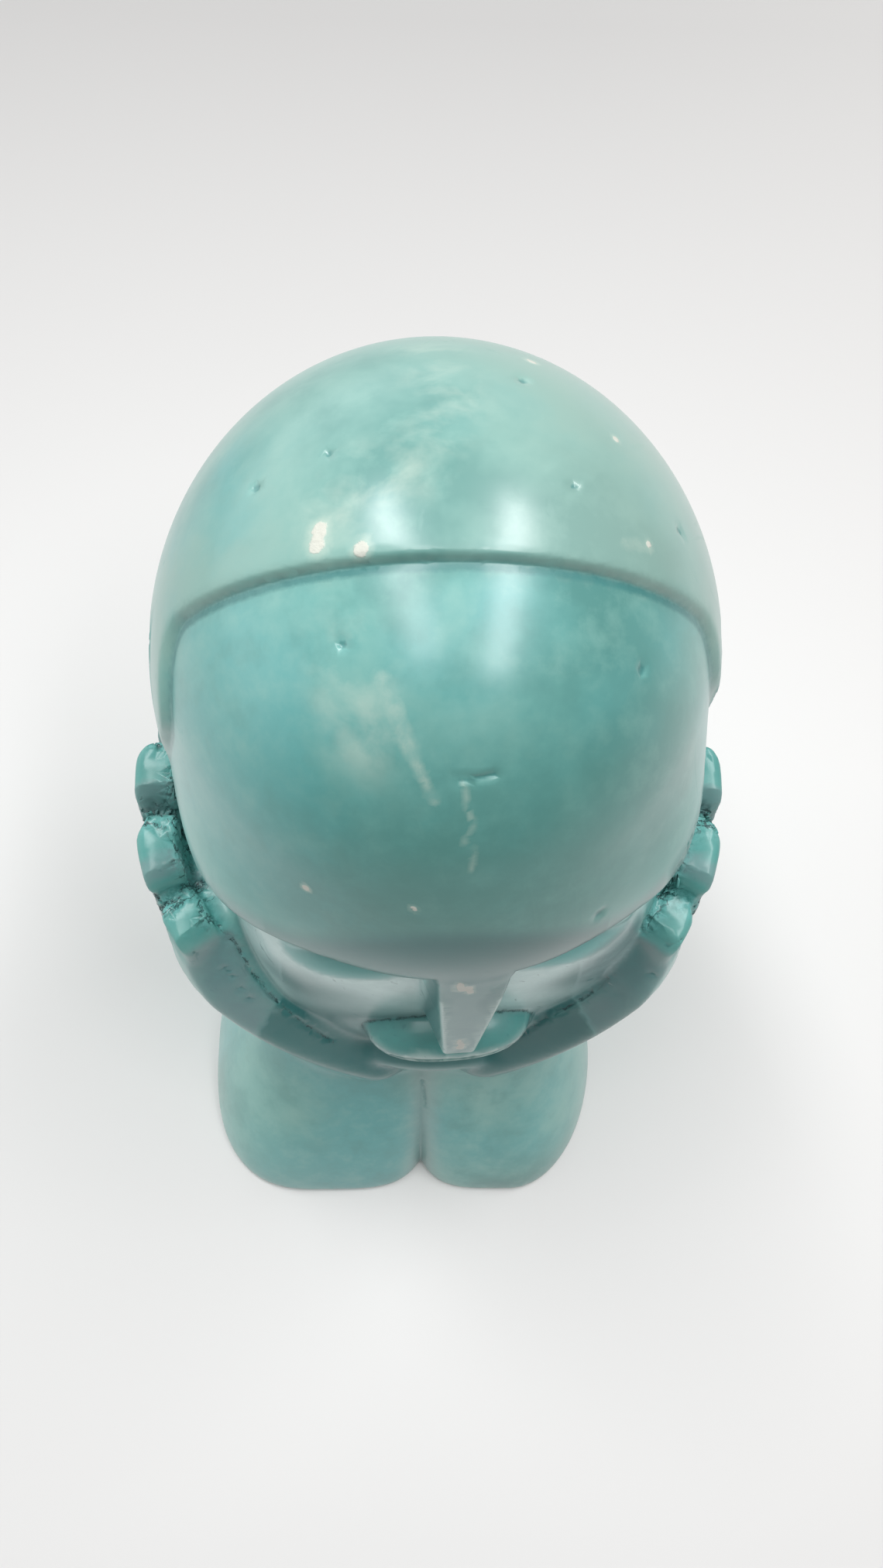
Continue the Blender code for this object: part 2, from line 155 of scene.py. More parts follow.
# Cupped hands
HAND_HALF_WIDTH = 57.4
HAND_FRONT = 63.8
HAND_THICKNESS = 8.6
HAND_MIDDLE = 12.0       # middle of the cup, forward of the head's
HAND_SHIFT = 0.5         # cup off the middle line
FINGER_LENGTH = 40.0
FINGER_LEAN = 0.25
FINGER_EASE = 1.8        # rounding of a fingertip's edges
FINGER_ROUND = 0.08      # how its outer face curves in towards its back end
FINGER_SLOPE = 2.4       # length of the slope at its front end
FINGER_PROUD = 0.2       # its outer face out of the cup's at the top
FINGER_SINKS = 2.4       # and back into it lower down
FINGER_FALL = 0.15       # slope of its top to the front
PALM_SPLIT = (2.0, -76.0, -97.0)   # hollow between the heels of the hands
PALM_SPLIT_LEFT = 13.0
PALM_SPLIT_RIGHT = 14.0
PALM_SPLIT_DEPTH = 18.0
PALM_SPLIT_TALL = 15.0
HEEL_ROUNDING = 6.0      # of the heels where the hollow meets them
CUP_BOXINESS = 2.35
CUP_SQUARER = 0.45       # boxier by this lower down
CUP_SQUARES_BELOW = 42.0
CUP_BACK = 40.0          # half depth of the cup behind its middle
CUP_NARROWING = 20.0     # on each side, down to the wrists
CUP_NARROWS_BELOW = 50.0
HAND_BACK = 12.0         # where the hands end behind
HEEL_FRONT = 60.0
HEEL_DROP = 97.0
HEEL_SLOPE = (0, -0.55, -1)
FINGERTIPS = ((-18.5, 35.0, 13.0), (-1.0, 27.5, 12.6),    # bearing, drop, width
              (15.0, 29.0, 15.2), (29.6, 36.5, 10.6))
EDGE_BEARINGS = (-40, -30, 28, 38, 46, 50, 57, 66, 72, 78, 84, 90)
EDGE_DROPS = (60, 42, 39, 42, 51, 56, 61.5, 70, 74.5, 79, 82, 85)

# Forearms and foot
FOOT_LEFT = 55.5         # outward from the crease
FOOT_RIGHT = 46.0
FOOT_FRONT = 85.6
CREASE_SHIFT = 1.0       # crease off the middle line
FOOT_BACK = 44.0
WRIST_DROP = 88.0
WRIST_LEFT = 17.0        # middle and half width of each wrist
WRIST_LEFT_HALF = 20.5
WRIST_RIGHT = 14.0
WRIST_RIGHT_HALF = 19.0
WRIST_FORWARD = 32.0
WRIST_HALF_DEPTH = 24.0
LOBE_HALF_DEPTH = 37.0
ARMS_DROP = 80.0         # top of the forearms, inside the hands
NECK_DROP = 50.0
NECK_HALF_WIDTH = 31.0
NECK_HALF_DEPTH = 29.0
NECK_BACK = 2.0
NECK_FOOT_HALF_WIDTH = 50.0
NECK_BOXINESS = 2.5
NECK_BLEND = 9.0
LOBE_OVERLAP = 3.0       # each lobe past the middle line
LOBE_LEFT_BOXINESS = 2.6
LOBE_RIGHT_BOXINESS = 2.0
LOBE_INNER_BOXINESS = 4.2
FOOT_EDGE = 2.5          # rounding of the lower edge

# Mesh
FINEST_VOXEL = 1.38
STAGES = ((4, 12), (2.5, 8), (1.5, 6), (1, 5), (1, 5), (1, 5), (1, 0))   # times the finest, and rounds
SHARPENING = 8           # rounds of sharpening the edges
SHARP_BEND = 0.10
MM = 0.001


def join(a, b, blend):
    """Both bodies together, run into each other over the blend."""
    near = np.maximum(blend - np.abs(a - b), 0) / blend
    return np.minimum(a, b) - near * near * blend / 4


def meet(a, b, blend):
    """Only what lies in both bodies, the edge eased over the blend."""
    return -join(-a, -b, blend)


def plane(p, point, normal):
    """Distance in front of a plane."""
    n = np.array(normal, float)
    return (p - np.array(point, float)) @ (n / np.linalg.norm(n))


def ramp(t):
    """Smooth 0 to 1."""
    t = np.clip(t, 0, 1)
    return t * t * (3 - 2 * t)


def turned(p, angle):
    """The points in a frame turned about Z."""
    c, s = math.cos(angle), math.sin(angle)
    return np.stack([c * p[:, 0] + s * p[:, 1], -s * p[:, 0] + c * p[:, 1], p[:, 2]], 1)


def mirrored(p):
    """Both sides folded onto one."""
    m = p.copy()
    m[:, 0] = np.abs(m[:, 0])
    return m


def egg(p, centre, low, high, power=2.0):
    """Rounded body whose radii differ on the low and the high side of each axis; a higher power is boxier."""
    q = p - np.array(centre, float)
    r = np.where(q < 0, np.array(low, float), np.array(high, float))
    a = np.abs(q) / r + 1e-9
    k = (a ** power).sum(1) ** (1 / power)
    g = a ** (power - 1) / r * (k ** (1 - power))[:, None]
    return (k - 1) / np.sqrt((g ** 2).sum(1))


def column(x, y, half_x, half_y, power):
    """Upright body with a rounded plan."""
    a = np.abs(x) / half_x + 1e-9
    b = np.abs(y) / half_y + 1e-9
    k = (a ** power + b ** power) ** (1 / power)
    slope = np.hypot(a ** (power - 1) / half_x, b ** (power - 1) / half_y) * k ** (1 - power)
    return (k - 1) / slope


def skull(p):
    low = (SKULL_HALF_WIDTH, SKULL_FRONT, SKULL_BELOW)
    high = (SKULL_HALF_WIDTH, SKULL_BACK, SKULL_TOP)
    return egg(p, (SKULL_SHIFT, 0, 0), low, high)


def forehead(p, f):
    """Skull swelling out over a boxier brow and a keel above the nose, cut off below the brow's edge."""
    low = (BROW_HALF_WIDTH, BROW_FRONT + BROW_CENTRE[1], BROW_BELOW)
    high = (BROW_HALF_WIDTH, BROW_DEPTH, BROW_ABOVE)
    full = join(skull(p), egg(f, BROW_CENTRE, low, high, BROW_BOXINESS), BROW_BLEND)
    low = (KEEL_HALF_WIDTH, KEEL_REACH + KEEL_CENTRE[1], KEEL_TALL)
    high = (KEEL_HALF_WIDTH, KEEL_DEPTH, KEEL_TALL)
    full = join(full, egg(f, KEEL_CENTRE, low, high), KEEL_BLEND)
    under = plane(mirrored(f), *UNDER_BROW)
    behind = plane(f, (0, -UNDERCUT_BACK, 0), (0, -1, 0))
    return meet(full, join(under, behind, UNDERCUT_BLEND), BROW_EDGE)


def lower_face(f):
    """Boxy mask of cheeks and jaw, leaning forward as it goes down."""
    lean = f.copy()
    lean[:, 1] = f[:, 1] - FACE_LEAN * (f[:, 2] + FACE_MIDDLE)
    reach = FACE_FRONT - FACE_CORE
    low = (FACE_HALF_WIDTH, reach, MASK_BELOW)
    high = (FACE_HALF_WIDTH, FACE_DEPTH, MASK_ABOVE)
    mask = egg(lean, (0, -FACE_CORE, -FACE_MIDDLE), low, high, MASK_BOXINESS)
    low = (FACE_HALF_WIDTH + JAW_WIDER, reach + JAW_FORWARD, JAW_TALL)
    high = (FACE_HALF_WIDTH + JAW_WIDER, FACE_DEPTH, JAW_TALL)
    return join(mask, egg(f, (0, -FACE_CORE, -JAW_DROP), low, high, JAW_BOXINESS), JAW_BLEND)


def socket(f):
    """Hollow for an eye under the brow, one on each side."""
    centre = (SOCKET_OUT, -SOCKET_REACH, -BROW_DROP - SOCKET_DROP)
    return egg(mirrored(f), centre, *SOCKET_RADII, SOCKET_BOXINESS)


def lid(f):
    """Closed lid lying in each hollow."""
    return egg(mirrored(f), (LID_OUT, -LID_REACH, -BROW_DROP - LID_DROP), *LID_RADII)


def nose(f):
    """Flat tapering ridge with sloping sides and a blunt tip, sinking away above the brow, and its fillet."""
    fall = (-BROW_DROP - f[:, 2]) / NOSE_LENGTH
    along = np.clip(fall, 0, 1)
    above = np.clip(-fall, 0, 1)
    sunk = NOSE_SINKING * np.maximum(f[:, 2] + BROW_DROP - NOSE_SINKS_ABOVE, 0) ** 2
    crown = NOSE_CROWN * f[:, 0] ** 2 * ramp((f[:, 2] + BROW_DROP + 14) / 18)
    behind = f[:, 1] + NOSE_FRONT + NOSE_RISE * np.clip(fall, -1, 1) - sunk - crown
    half = (NOSE_TOP_WIDTH + (NOSE_TIP_WIDTH - NOSE_TOP_WIDTH) * along) / 2 + 1.5 * above
    side = np.abs(f[:, 0] - NOSE_SHIFT * (1 - along)) - half - NOSE_SIDE_SLOPE * np.maximum(behind, 0)
    body = meet(side * 0.94, -behind * 0.98, 0.8)
    tip = plane(f, (0, -NOSE_FRONT - NOSE_RISE, -BROW_DROP - NOSE_LENGTH), NOSE_TIP_SLOPE)
    body = meet(meet(body, tip, 1.5), f[:, 2] - NOSE_TOP, 4)
    return np.maximum(body, f[:, 1] + NOSE_BACK), NOSE_BLEND * (1 - 0.8 * ramp(20 * above))


def nose_root(f):
    """Soft swelling under the brow, where the nose's sides run out into it."""
    return egg(f, ROOT_CENTRE, ROOT_RADII, ROOT_RADII)


def mouth(f):
    """Both lips as one shelf with a groove between them."""
    radii = (LIP_HALF_WIDTH, LIP_REACH, LIP_TALL)
    shelf = egg(f, (LIP_SHIFT, -LIP_FORWARD, -LIP_DROP - LIP_BELOW), radii, radii, LIP_BOXINESS)
    middle = (LIP_SHIFT, -LIP_FORWARD - LIP_REACH, -LIP_DROP - LIP_BELOW)
    groove = egg(f, middle, LIP_GROOVE, LIP_GROOVE)
    return meet(shelf, -groove, 0.8)


def chin(f):
    low = (CHIN_HALF_WIDTH, CHIN_REACH, CHIN_BELOW)
    high = (CHIN_HALF_WIDTH, CHIN_DEPTH, CHIN_ABOVE)
    return egg(f, (0, -CHIN_FORWARD, -CHIN_DROP - 2), low, high, CHIN_BOXINESS)


def before_hairline(p):
    """How far points lie in front of the cap's rim, which curves round to the temples."""
    x, y, z = p.T
    sweep = (HAIRLINE_SWEEP - HAIRLINE_SWEEP_SKEW * x) * ramp((HAIRLINE_SWEEP_TOP - z) / HAIRLINE_SWEEP_TALL)
    return -HAIRLINE_FRONT + HAIRLINE_CURVE * x ** 2 + HAIRLINE_SKEW * x - sweep - y


def hair_cap(p):
    """Skull grown by the step, kept behind the hairline and above the nape."""
    cap = meet(skull(p) - CAP_STEP, before_hairline(p), CAP_EDGE)
    return meet(cap, plane(p, (0, NAPE_BACK, -NAPE_DROP), NAPE_SLOPE), NAPE_EDGE)


def head(p):
    f = turned(p, FACE_TURN) - np.array((FACE_SHIFT, 0, 0))
    d = join(forehead(p, f), lower_face(f), 2.0)
    d = meet(d, -socket(f), 2.0)
    d = join(d, lid(f), 1.0)
    d = join(d, nose_root(f), 3.5)
    ridge, blend = nose(f)
    d = join(d, ridge, blend)
    d = join(d, mouth(f), 1.2)
    d = join(d, chin(f), 2.0)
    return join(d, hair_cap(p), 0.6)


def cup(m):
    """Outer surface of the cupped hands, narrowing down to the wrists."""
    drop = np.clip((-CUP_NARROWS_BELOW - m[:, 2]) / 50, 0, 1) ** 1.6
    half_x = HAND_HALF_WIDTH - CUP_NARROWING * drop
    half_y = np.where(m[:, 1] < -HAND_MIDDLE, HAND_FRONT - HAND_MIDDLE, CUP_BACK)
    boxiness = CUP_BOXINESS + CUP_SQUARER * ramp((-CUP_SQUARES_BELOW - m[:, 2]) / 16)
    return column(m[:, 0], m[:, 1] + HAND_MIDDLE, half_x, half_y, boxiness)


def on_cup(angle):
    """Plan point of the cup's rim at an angle from the side towards the front."""
    c, s = math.cos(angle), math.sin(angle)
    front = HAND_FRONT - HAND_MIDDLE
    r = (abs(c / HAND_HALF_WIDTH) ** CUP_BOXINESS + abs(s / front) ** CUP_BOXINESS) ** (-1 / CUP_BOXINESS)
    return np.array((r * c, -HAND_MIDDLE - r * s))


def along_cup(m, bearing):
    """How far points lie to the front of a bearing on the cup's rim."""
    here = on_cup(math.radians(bearing))
    ahead = on_cup(math.radians(bearing) + 0.08) - here
    return (m[:, :2] - here) @ (ahead / np.linalg.norm(ahead))


def towards_front(bearing):
    """0 beside the fingers, 1 along the hand's flat front edge."""
    return ramp((bearing - 30) / 15)


def in_hand(p):
    """Points from one hand's side: mirrored, how far outside the cup, bearing, the bevel's slope and rise."""
    m = mirrored(p)
    outside = cup(m)
    bearing = np.degrees(np.arctan2(-(m[:, 1] + HAND_MIDDLE), m[:, 0]))
    slope = 0.2 + 0.7 * towards_front(bearing)
    return m, outside, bearing, slope, slope * np.clip(outside + HAND_THICKNESS + 1, 0, 20)


def finger(m, outside, bearing, drop, width):
    """Upright fingertip lying in the cup's wall, stepped down to the front."""
    up = m[:, 2] + drop
    along = along_cup(m, bearing) + FINGER_LEAN * up
    back = np.clip(-along - 1.5, 0, 5)
    proud = FINGER_PROUD - FINGER_SINKS * ramp((-up - 8) / 26) - FINGER_ROUND * back ** 2
    across = outside + HAND_THICKNESS / 2 - proud
    half = width / 2 * (1 + np.clip(outside, -12, 2) / 45)
    tall = FINGER_LENGTH / 2
    fall = FINGER_FALL * np.maximum(along, 0) + np.maximum(along - half + FINGER_SLOPE, 0)
    thick = HAND_THICKNESS / 2
    q = np.stack([np.abs(along) - half, np.abs(across) - thick, np.abs(up + tall) - tall + fall], 1)
    q += FINGER_EASE
    return 0.85 * (np.linalg.norm(np.maximum(q, 0), axis=1) + np.minimum(q.max(1), 0) - FINGER_EASE)


def hands(p):
    """Curved slabs round the jaw: four fingertips a side and a flat bevelled front edge down to the chin."""
    p = p - (HAND_SHIFT, 0, 0)
    m, outside, bearing, slope, rise = in_hand(p)
    edge = -sum(np.interp(bearing + shift, EDGE_BEARINGS, EDGE_DROPS) for shift in (-4, 0, 4)) / 3
    bevel = (m[:, 2] - edge + rise) / (1 + 0.5 * slope)
    d = meet(outside, bevel, 1.5)
    for tip in FINGERTIPS:
        d = join(d, finger(m, outside, *tip), 1.5)
    floor = edge + 2.5 - 5.5 * towards_front(bearing)
    gap = meet(outside + HAND_THICKNESS - 0.3, floor - m[:, 2], 2)
    d = meet(d, -gap, 1.5)
    d = meet(d, plane(m, (0, HAND_BACK, -HEEL_FRONT), (0, 1, -0.2)), 5)
    low = (PALM_SPLIT_LEFT, PALM_SPLIT_DEPTH, PALM_SPLIT_TALL)
    high = (PALM_SPLIT_RIGHT, PALM_SPLIT_DEPTH, PALM_SPLIT_TALL)
    d = meet(d, -egg(p, PALM_SPLIT, low, high), HEEL_ROUNDING)
    return meet(d, plane(m, (0, -HEEL_FRONT, -HEEL_DROP), HEEL_SLOPE), 3)


def forearm(p, flare, side, reach, wrist_middle, wrist_half, power):
    """One forearm, widening from the wrist to its lobe of the foot, boxier where it meets the other."""
    middle = side * (wrist_middle + (reach / 2 - wrist_middle) * flare)
    half = wrist_half + (reach / 2 - wrist_half) * flare
    arm_y = -WRIST_FORWARD + (LOBE_HALF_DEPTH + WRIST_FORWARD - FOOT_FRONT) * flare
    deep = WRIST_HALF_DEPTH + (LOBE_HALF_DEPTH - WRIST_HALF_DEPTH) * flare
    x = side * (p[:, 0] - CREASE_SHIFT - middle)
    half = np.where(x < 0, half + LOBE_OVERLAP, half)
    power = np.where(x < 0, LOBE_INNER_BOXINESS, power)
    return column(x, p[:, 1] - arm_y, half, deep, power)


def foot(p):
    """Two forearms side by side and the neck behind them, spreading to a foot with a lobe a side."""
    fall = np.clip((-WRIST_DROP - p[:, 2]) / (HEAD_LIFT - WRIST_DROP), 0, 1)
    flare = 0.55 * ramp(fall) + 0.45 * fall
    left = forearm(p, flare, -1, FOOT_LEFT, WRIST_LEFT, WRIST_LEFT_HALF, LOBE_LEFT_BOXINESS)
    right = forearm(p, flare, 1, FOOT_RIGHT, WRIST_RIGHT, WRIST_RIGHT_HALF, LOBE_RIGHT_BOXINESS)
    arms = meet(join(left, right, 1.0), p[:, 2] + ARMS_DROP, 4)
    spread = ramp((-NECK_DROP - p[:, 2]) / (HEAD_LIFT - NECK_DROP))
    wide = NECK_HALF_WIDTH + (NECK_FOOT_HALF_WIDTH - NECK_HALF_WIDTH) * spread
    deep = NECK_HALF_DEPTH + (FOOT_BACK - NECK_BACK - NECK_HALF_DEPTH) * spread
    neck = column(p[:, 0] + 3 * flare, p[:, 1] - NECK_BACK, wide, deep, NECK_BOXINESS)
    return join(arms, meet(neck, p[:, 2] + NECK_DROP, 4), NECK_BLEND)


def carving(p):
    """The whole block, cut off at the ground. Head and hands run together more softly behind."""
    d = join(head(p), hands(p), 2 + 6 * ramp((p[:, 1] + 22) / 20))
    d = join(d, foot(p), 4)
    return meet(d, -HEAD_LIFT - p[:, 2], FOOT_EDGE)


def nearest(p, longest):
    """Points moved once towards the surface, and the surface's normals there."""
    d = carving(p)
    slope = np.stack([carving(p + e) - d for e in np.eye(3) * 0.05], 1) / 0.05
    steep = np.linalg.norm(slope, axis=1) + 1e-3
    normal = slope / steep[:, None]
    return p - normal * np.clip(d / steep, -longest, longest)[:, None], normal


def vertices(obj):
    flat = np.empty(len(obj.data.vertices) * 3, np.float32)
    obj.data.vertices.foreach_get("co", flat)
    return flat.reshape(-1, 3).astype(float)


def place(obj, points):
    obj.data.vertices.foreach_set("co", points.astype(np.float32).ravel())
    obj.data.update()


def apply(obj, kind, **values):
    modifier = obj.modifiers.new(kind.title(), kind)
    for name, value in values.items():
        setattr(modifier, name, value)
    bpy.context.view_layer.objects.active = obj
    bpy.ops.object.modifier_apply(modifier=modifier.name)


def links(obj):
    """Each vertex with itself and its neighbours, as rows of to and from, and how many each has."""
    ends = np.empty(len(obj.data.edges) * 2, np.int64)
    obj.data.edges.foreach_get("vertices", ends)
    one, other = ends.reshape(-1, 2).T
    own = np.arange(len(obj.data.vertices))
    to = np.concatenate([one, other, own])
    return to, np.concatenate([other, one, own]), np.bincount(to)


def gather(values, to):
    """Sum of the rows that go to each vertex."""
    return np.stack([np.bincount(to, column) for column in values.T], 1)


def sink(obj, steps, longest):
    """The mesh evens out and follows its own normals onto the surface, also down to the floors of gaps."""
    to, of, count = links(obj)
    for _ in range(steps):
        p = vertices(obj)
        place(obj, gather(p[of], to) / count[:, None])
        p = vertices(obj)
        normal = np.empty(p.size, np.float32)
        obj.data.vertex_normals.foreach_get("vector", normal)
        place(obj, p - normal.reshape(-1, 3) * np.clip(carving(p), -longest, longest)[:, None])


def sharpen(obj, passes):
    """Vertices even out over smooth stone and slide onto its edges, where their neighbours' planes cross."""
    to, of, count = links(obj)
    for _ in range(passes):
        p, normal = nearest(vertices(obj), 2)
        spread = (normal[:, :, None] * normal[:, None, :]).reshape(-1, 9)
        level = normal * (normal * p).sum(1)[:, None]
        middle = gather(p[of], to) / count[:, None]
        left = gather(spread[of], to).reshape(-1, 3, 3) + 0.12 * np.eye(3)
        right = gather(level[of], to) + 0.12 * middle
        crossing = np.linalg.solve(left, right[:, :, None])[:, :, 0]
        move = crossing - middle
        size = np.linalg.norm(move, axis=1)
        place(obj, middle + move * np.minimum(1, FINEST_VOXEL / np.maximum(size, 1e-9))[:, None])
    place(obj, nearest(vertices(obj), 0.5)[0])


def blank(name):
    """Rough egg a little larger than the carving, in millimetres."""
    bpy.ops.mesh.primitive_uv_sphere_add(segments=48, ring_count=32, radius=1)
    obj = bpy.context.object
    obj.name = obj.data.name = name
    tall = HEAD_LIFT + SKULL_TOP
    obj.scale = (HAND_HALF_WIDTH + 6, FOOT_FRONT - 12, tall * 0.6)
    obj.location = (0, -12, SKULL_TOP - tall / 2)
    bpy.ops.object.transform_apply(location=True, rotation=True, scale=True)
    return obj


def carve(obj):
    """Coarse to fine, the blank is remeshed and drawn onto the surface, and its edges are then sharpened."""
    for times, rounds in STAGES:
        voxel = FINEST_VOXEL * times
        apply(obj, "REMESH", mode="VOXEL", voxel_size=voxel, adaptivity=0)
        sink(obj, rounds, voxel * 0.6)
    sharpen(obj, SHARPENING)


def set_down(obj):
    """Underside flat on the ground, outline's middle over the origin, in metres. Gives the shift in mm."""
    p = vertices(obj)
    p[:, 2] += HEAD_LIFT
    p[p[:, 2] < 0.3, 2] = 0
    middle = -(p[:, :2].min(0) + p[:, :2].max(0)) / 2
    p[:, :2] += middle
    place(obj, p * MM)
    return middle


# Marks in the stone, in the same millimetres: one or two places, then the radius
DARK_PITS = ((-26.9, 4.7, 42.0, 0.9), (12.3, 22.7, 44.4, 0.8), (-16.2, 6.8, 47.4, 0.6),
             (18.6, 2.4, 47.2, 0.6), (29.2, -20.3, 34.6, 0.9), (26.7, -48.3, 2.5, 0.9),
             (-13.8, -21.0, 42.9, 0.7), (36.7, 3.5, 34.3, 0.7), (-21.0, 33.0, -12.0, 0.9),
             (33.0, 30.0, 12.0, 0.7))
DARK_SCRATCHES = ((2.4, -37.9, 35.0, 7.8, -36.9, 35.2, 0.5), (46.8, -43.9, -39.2, 49.7, -43.0, -37.4, 0.4),
                  (37.5, -48.8, -52.2, 38.9, -49.9, -53.3, 0.4),
                  (45.3, -47.3, -47.8, 46.4, -47.8, -47.9, 0.4),
                  (-38.3, -48.4, -51.1, -36.0, -51.0, -55.5, 0.4),
                  (-45.4, -44.8, -40.6, -44.1, -45.0, -43.9, 0.4),
                  (-40.3, -46.3, -47.8, -38.9, -47.7, -49.9, 0.4),
                  (0.4, -61.7, -104.5, 1.3, -66.7, -112.8, 0.6))
SCRATCH_SHARE = 0.75     # how strong these are against the pits
PALE_BLOBS = ((-17.3, -7.7, 46.8, 1.8), (-17.0, -5.7, 47.2, 1.6), (-11.3, -9.5, 48.6, 1.5),
              (-19.9, -46.9, 12.6, 0.8), (-3.5, -51.0, 16.1, 0.8), (30.0, -3.0, 40.5, 0.8),
              (26.3, 15.1, 40.9, 0.9), (14.0, 30.0, 38.0, 1.2))
NOSE_CHIPS = ((4.6, -57.9, -8.0, 5.0, -58.1, -11.5, 0.9), (6.3, -58.0, -10.0, 6.6, -58.4, -13.0, 0.8),
              (6.6, -61.9, -41.0, 6.6, -62.8, -46.5, 1.0))
PALE_STREAKS = ((-8.0, -26.1, 42.2, -4.4, -34.5, 37.6, 1.3), (-4.4, -34.5, 37.6, -1.0, -40.0, 33.0, 0.9),
                (30.4, -3.5, 40.2, 26.0, -4.5, 43.0, 1.0))
PALE_STROKES = ((NOSE_CHIPS, 1.0), (PALE_STREAKS, 0.52))    # and how strong each kind is
PALE_LINE = ((2.9, -38.1, 34.7), (4.6, -42.7, 29.8), (3.4, -44.4, 27.8), (5.5, -45.2, 26.5),
             (4.5, -47.3, 23.3))
PALE_LINE_RADIUS = 0.6
PALE_LINE_SHARE = 0.46
VEINS = (((-1.6, 28.8, 42.8), (1.1, 13.6, 49.1), (-2.2, 7.3, 50.3), (-6.0, 2.0, 50.3), (-13.6, 0.5, 48.7),
          (-15.7, -5.3, 47.8)), ((-13.5, -22.0, 42.6), (-11.0, -33.0, 38.0)))
VEIN_RADIUS = 5.0
FOREHEAD_SHADE_MIDDLE = (6.0, -50.0, 12.0)    # middle of the painted shade on the forehead's front, where it is darkest, and how far that reaches
FOREHEAD_SHADE_REACH = (36.0, 34.0, 46.0)

# Finish of the hands: the crack inside each strip, outwards from the cup, and the facet beside the fingers
CRACK_BEARINGS = (33.0, 38.0, 46.0, 52.0, 58.0, 66.0)
CRACK_OUT_LEFT = (-8.6, -9.2, -9.8, -8.4, -6.6, -5.2)
CRACK_OUT_RIGHT = (-7.2, -7.8, -8.3, -8.4, -8.0, -6.3)
FACET_START = 34.5
FACET_END = 52.0
NOTCH_TALL = 18.0        # below a fingertip's top
FAR_OFF = 4.0            # millimetres at which a line no longer counts

# Masks kept on the mesh, in the order in which the two functions give them
HAND_MASKS = ("chiselled", "flaked", "grey", "fresh", "deep", "crack_off")
MARK_MASKS = ("dark", "pale", "vein")


def bell(value, middle, spread):
    """1 at the middle, falling away on both sides."""
    return np.exp(-((value - middle) / spread) ** 2)


def carved_masks(p):
    """How chiselled, flaked, grey, fresh and deeply dyed the hands are, and how far off the strip's crack."""
    m, outside, bearing, _, rise = in_hand(p - (HAND_SHIFT, 0, 0))
    over = m[:, 2] + np.interp(bearing, EDGE_BEARINGS, EDGE_DROPS) + rise
    in_wall = ramp((outside + HAND_THICKNESS + 2.5) / 2) * ramp((2 - outside) / 2)
    chiselled, flaked, grey = np.zeros((3, len(p)))
    for (one, drop_one, _), (two, drop, _) in zip(FINGERTIPS, FINGERTIPS[1:]):
        up = m[:, 2] + drop
        along = along_cup(m, (one + two) / 2) + FINGER_LEAN * up
        bottom = ramp((up + NOTCH_TALL) / 6)
        notch = in_wall * bottom * ramp((4 - up) / 3)
        chiselled = np.maximum(chiselled, notch * bell(along, 0.3, 2.0))
        flaked = np.maximum(flaked, notch * bell(along, 3.2, 2.2))
        along += FINGER_LEAN * (drop_one - drop)
        # Grey on each fingertip's sloping front is a painted reflection of the dim room in front; the grey
        # facet along each strip below is the stone's own tone
        side = ramp((-0.4 - along) / 1.0) * ramp((along + 5.2) / 1.2)
        grey = np.maximum(grey, side * in_wall * bottom * ramp((4 - m[:, 2] - drop_one) / 3))
    tops = ramp((bearing + 14) / 5) * ramp((FACET_START + 1.5 - bearing) / 3) * ramp((over + 5) / 4)
    flaked = np.maximum(flaked, 0.75 * tops * bell(outside + HAND_THICKNESS, 1.2, 1.9))
    facet = ramp((bearing - FACET_START) / 1.5) * ramp((FACET_END - bearing) / 1.2)
    grey = np.maximum(grey, facet * in_wall * ramp((over + 3.5) / 2.5))
    deep = ramp((bearing - FACET_END + 1.2) / 1.2) * in_wall * ramp((over + 6) / 4)
    left, right = (np.interp(bearing, CRACK_BEARINGS, out) for out in (CRACK_OUT_LEFT, CRACK_OUT_RIGHT))
    past_ends = np.maximum(CRACK_BEARINGS[0] - bearing, bearing - CRACK_BEARINGS[-1])
    line = np.abs(outside - np.where(p[:, 0] < 0, left, right))
    line += np.maximum(past_ends, 0) + np.maximum(-over - 3, 0) + FAR_OFF * ramp(hands(p) / 0.8)
    return chiselled, flaked, grey, tops * in_wall, deep, np.minimum(line, FAR_OFF)


def spot(p, centre, radius):
    return 1 - ramp(np.linalg.norm(p - nearest(np.array([centre]), 1)[0], axis=1) / radius / 2)


def stroke(p, ends, radius):
    a, b = nearest(np.array([ends[:3], ends[3:6]]), 1)[0]
    t = np.clip((p - a) @ (b - a) / ((b - a) @ (b - a)), 0, 1)
    return 1 - ramp(np.linalg.norm(p - a - t[:, None] * (b - a), axis=1) / radius / 2)


def along_path(p, path, radius):
    """Stroke through all points of a path."""
    return np.max([stroke(p, start + end, radius) for start, end in zip(path, path[1:])], 0)


def marks_at(p):
    """Dark marks, pale marks and the cap's whitish vein, each 1 at its middle and 0 at twice its radius."""
    dark = [spot(p, centre, radius) for *centre, radius in DARK_PITS]
    dark += [SCRATCH_SHARE * stroke(p, ends, radius) for *ends, radius in DARK_SCRATCHES]
    pale = [spot(p, centre, radius) for *centre, radius in PALE_BLOBS]
    pale += [share * stroke(p, ends, radius) for strokes, share in PALE_STROKES for *ends, radius in strokes]
    pale.append(PALE_LINE_SHARE * along_path(p, PALE_LINE, PALE_LINE_RADIUS))
    vein = [along_path(p, path, VEIN_RADIUS) for path in VEINS]
    return tuple(np.max(marks, 0) for marks in (dark, pale, vein))


def rim_distance(p):
    """Millimetres in front of the cap's rim, signed, where the skull is near, and FAR_OFF elsewhere."""
    ahead = before_hairline(p)
    away = np.abs(skull(p)) > 3 * CAP_STEP
    low = p[:, 2] < -NAPE_DROP
    return np.where(away | low, FAR_OFF, np.clip(ahead, -FAR_OFF, FAR_OFF))


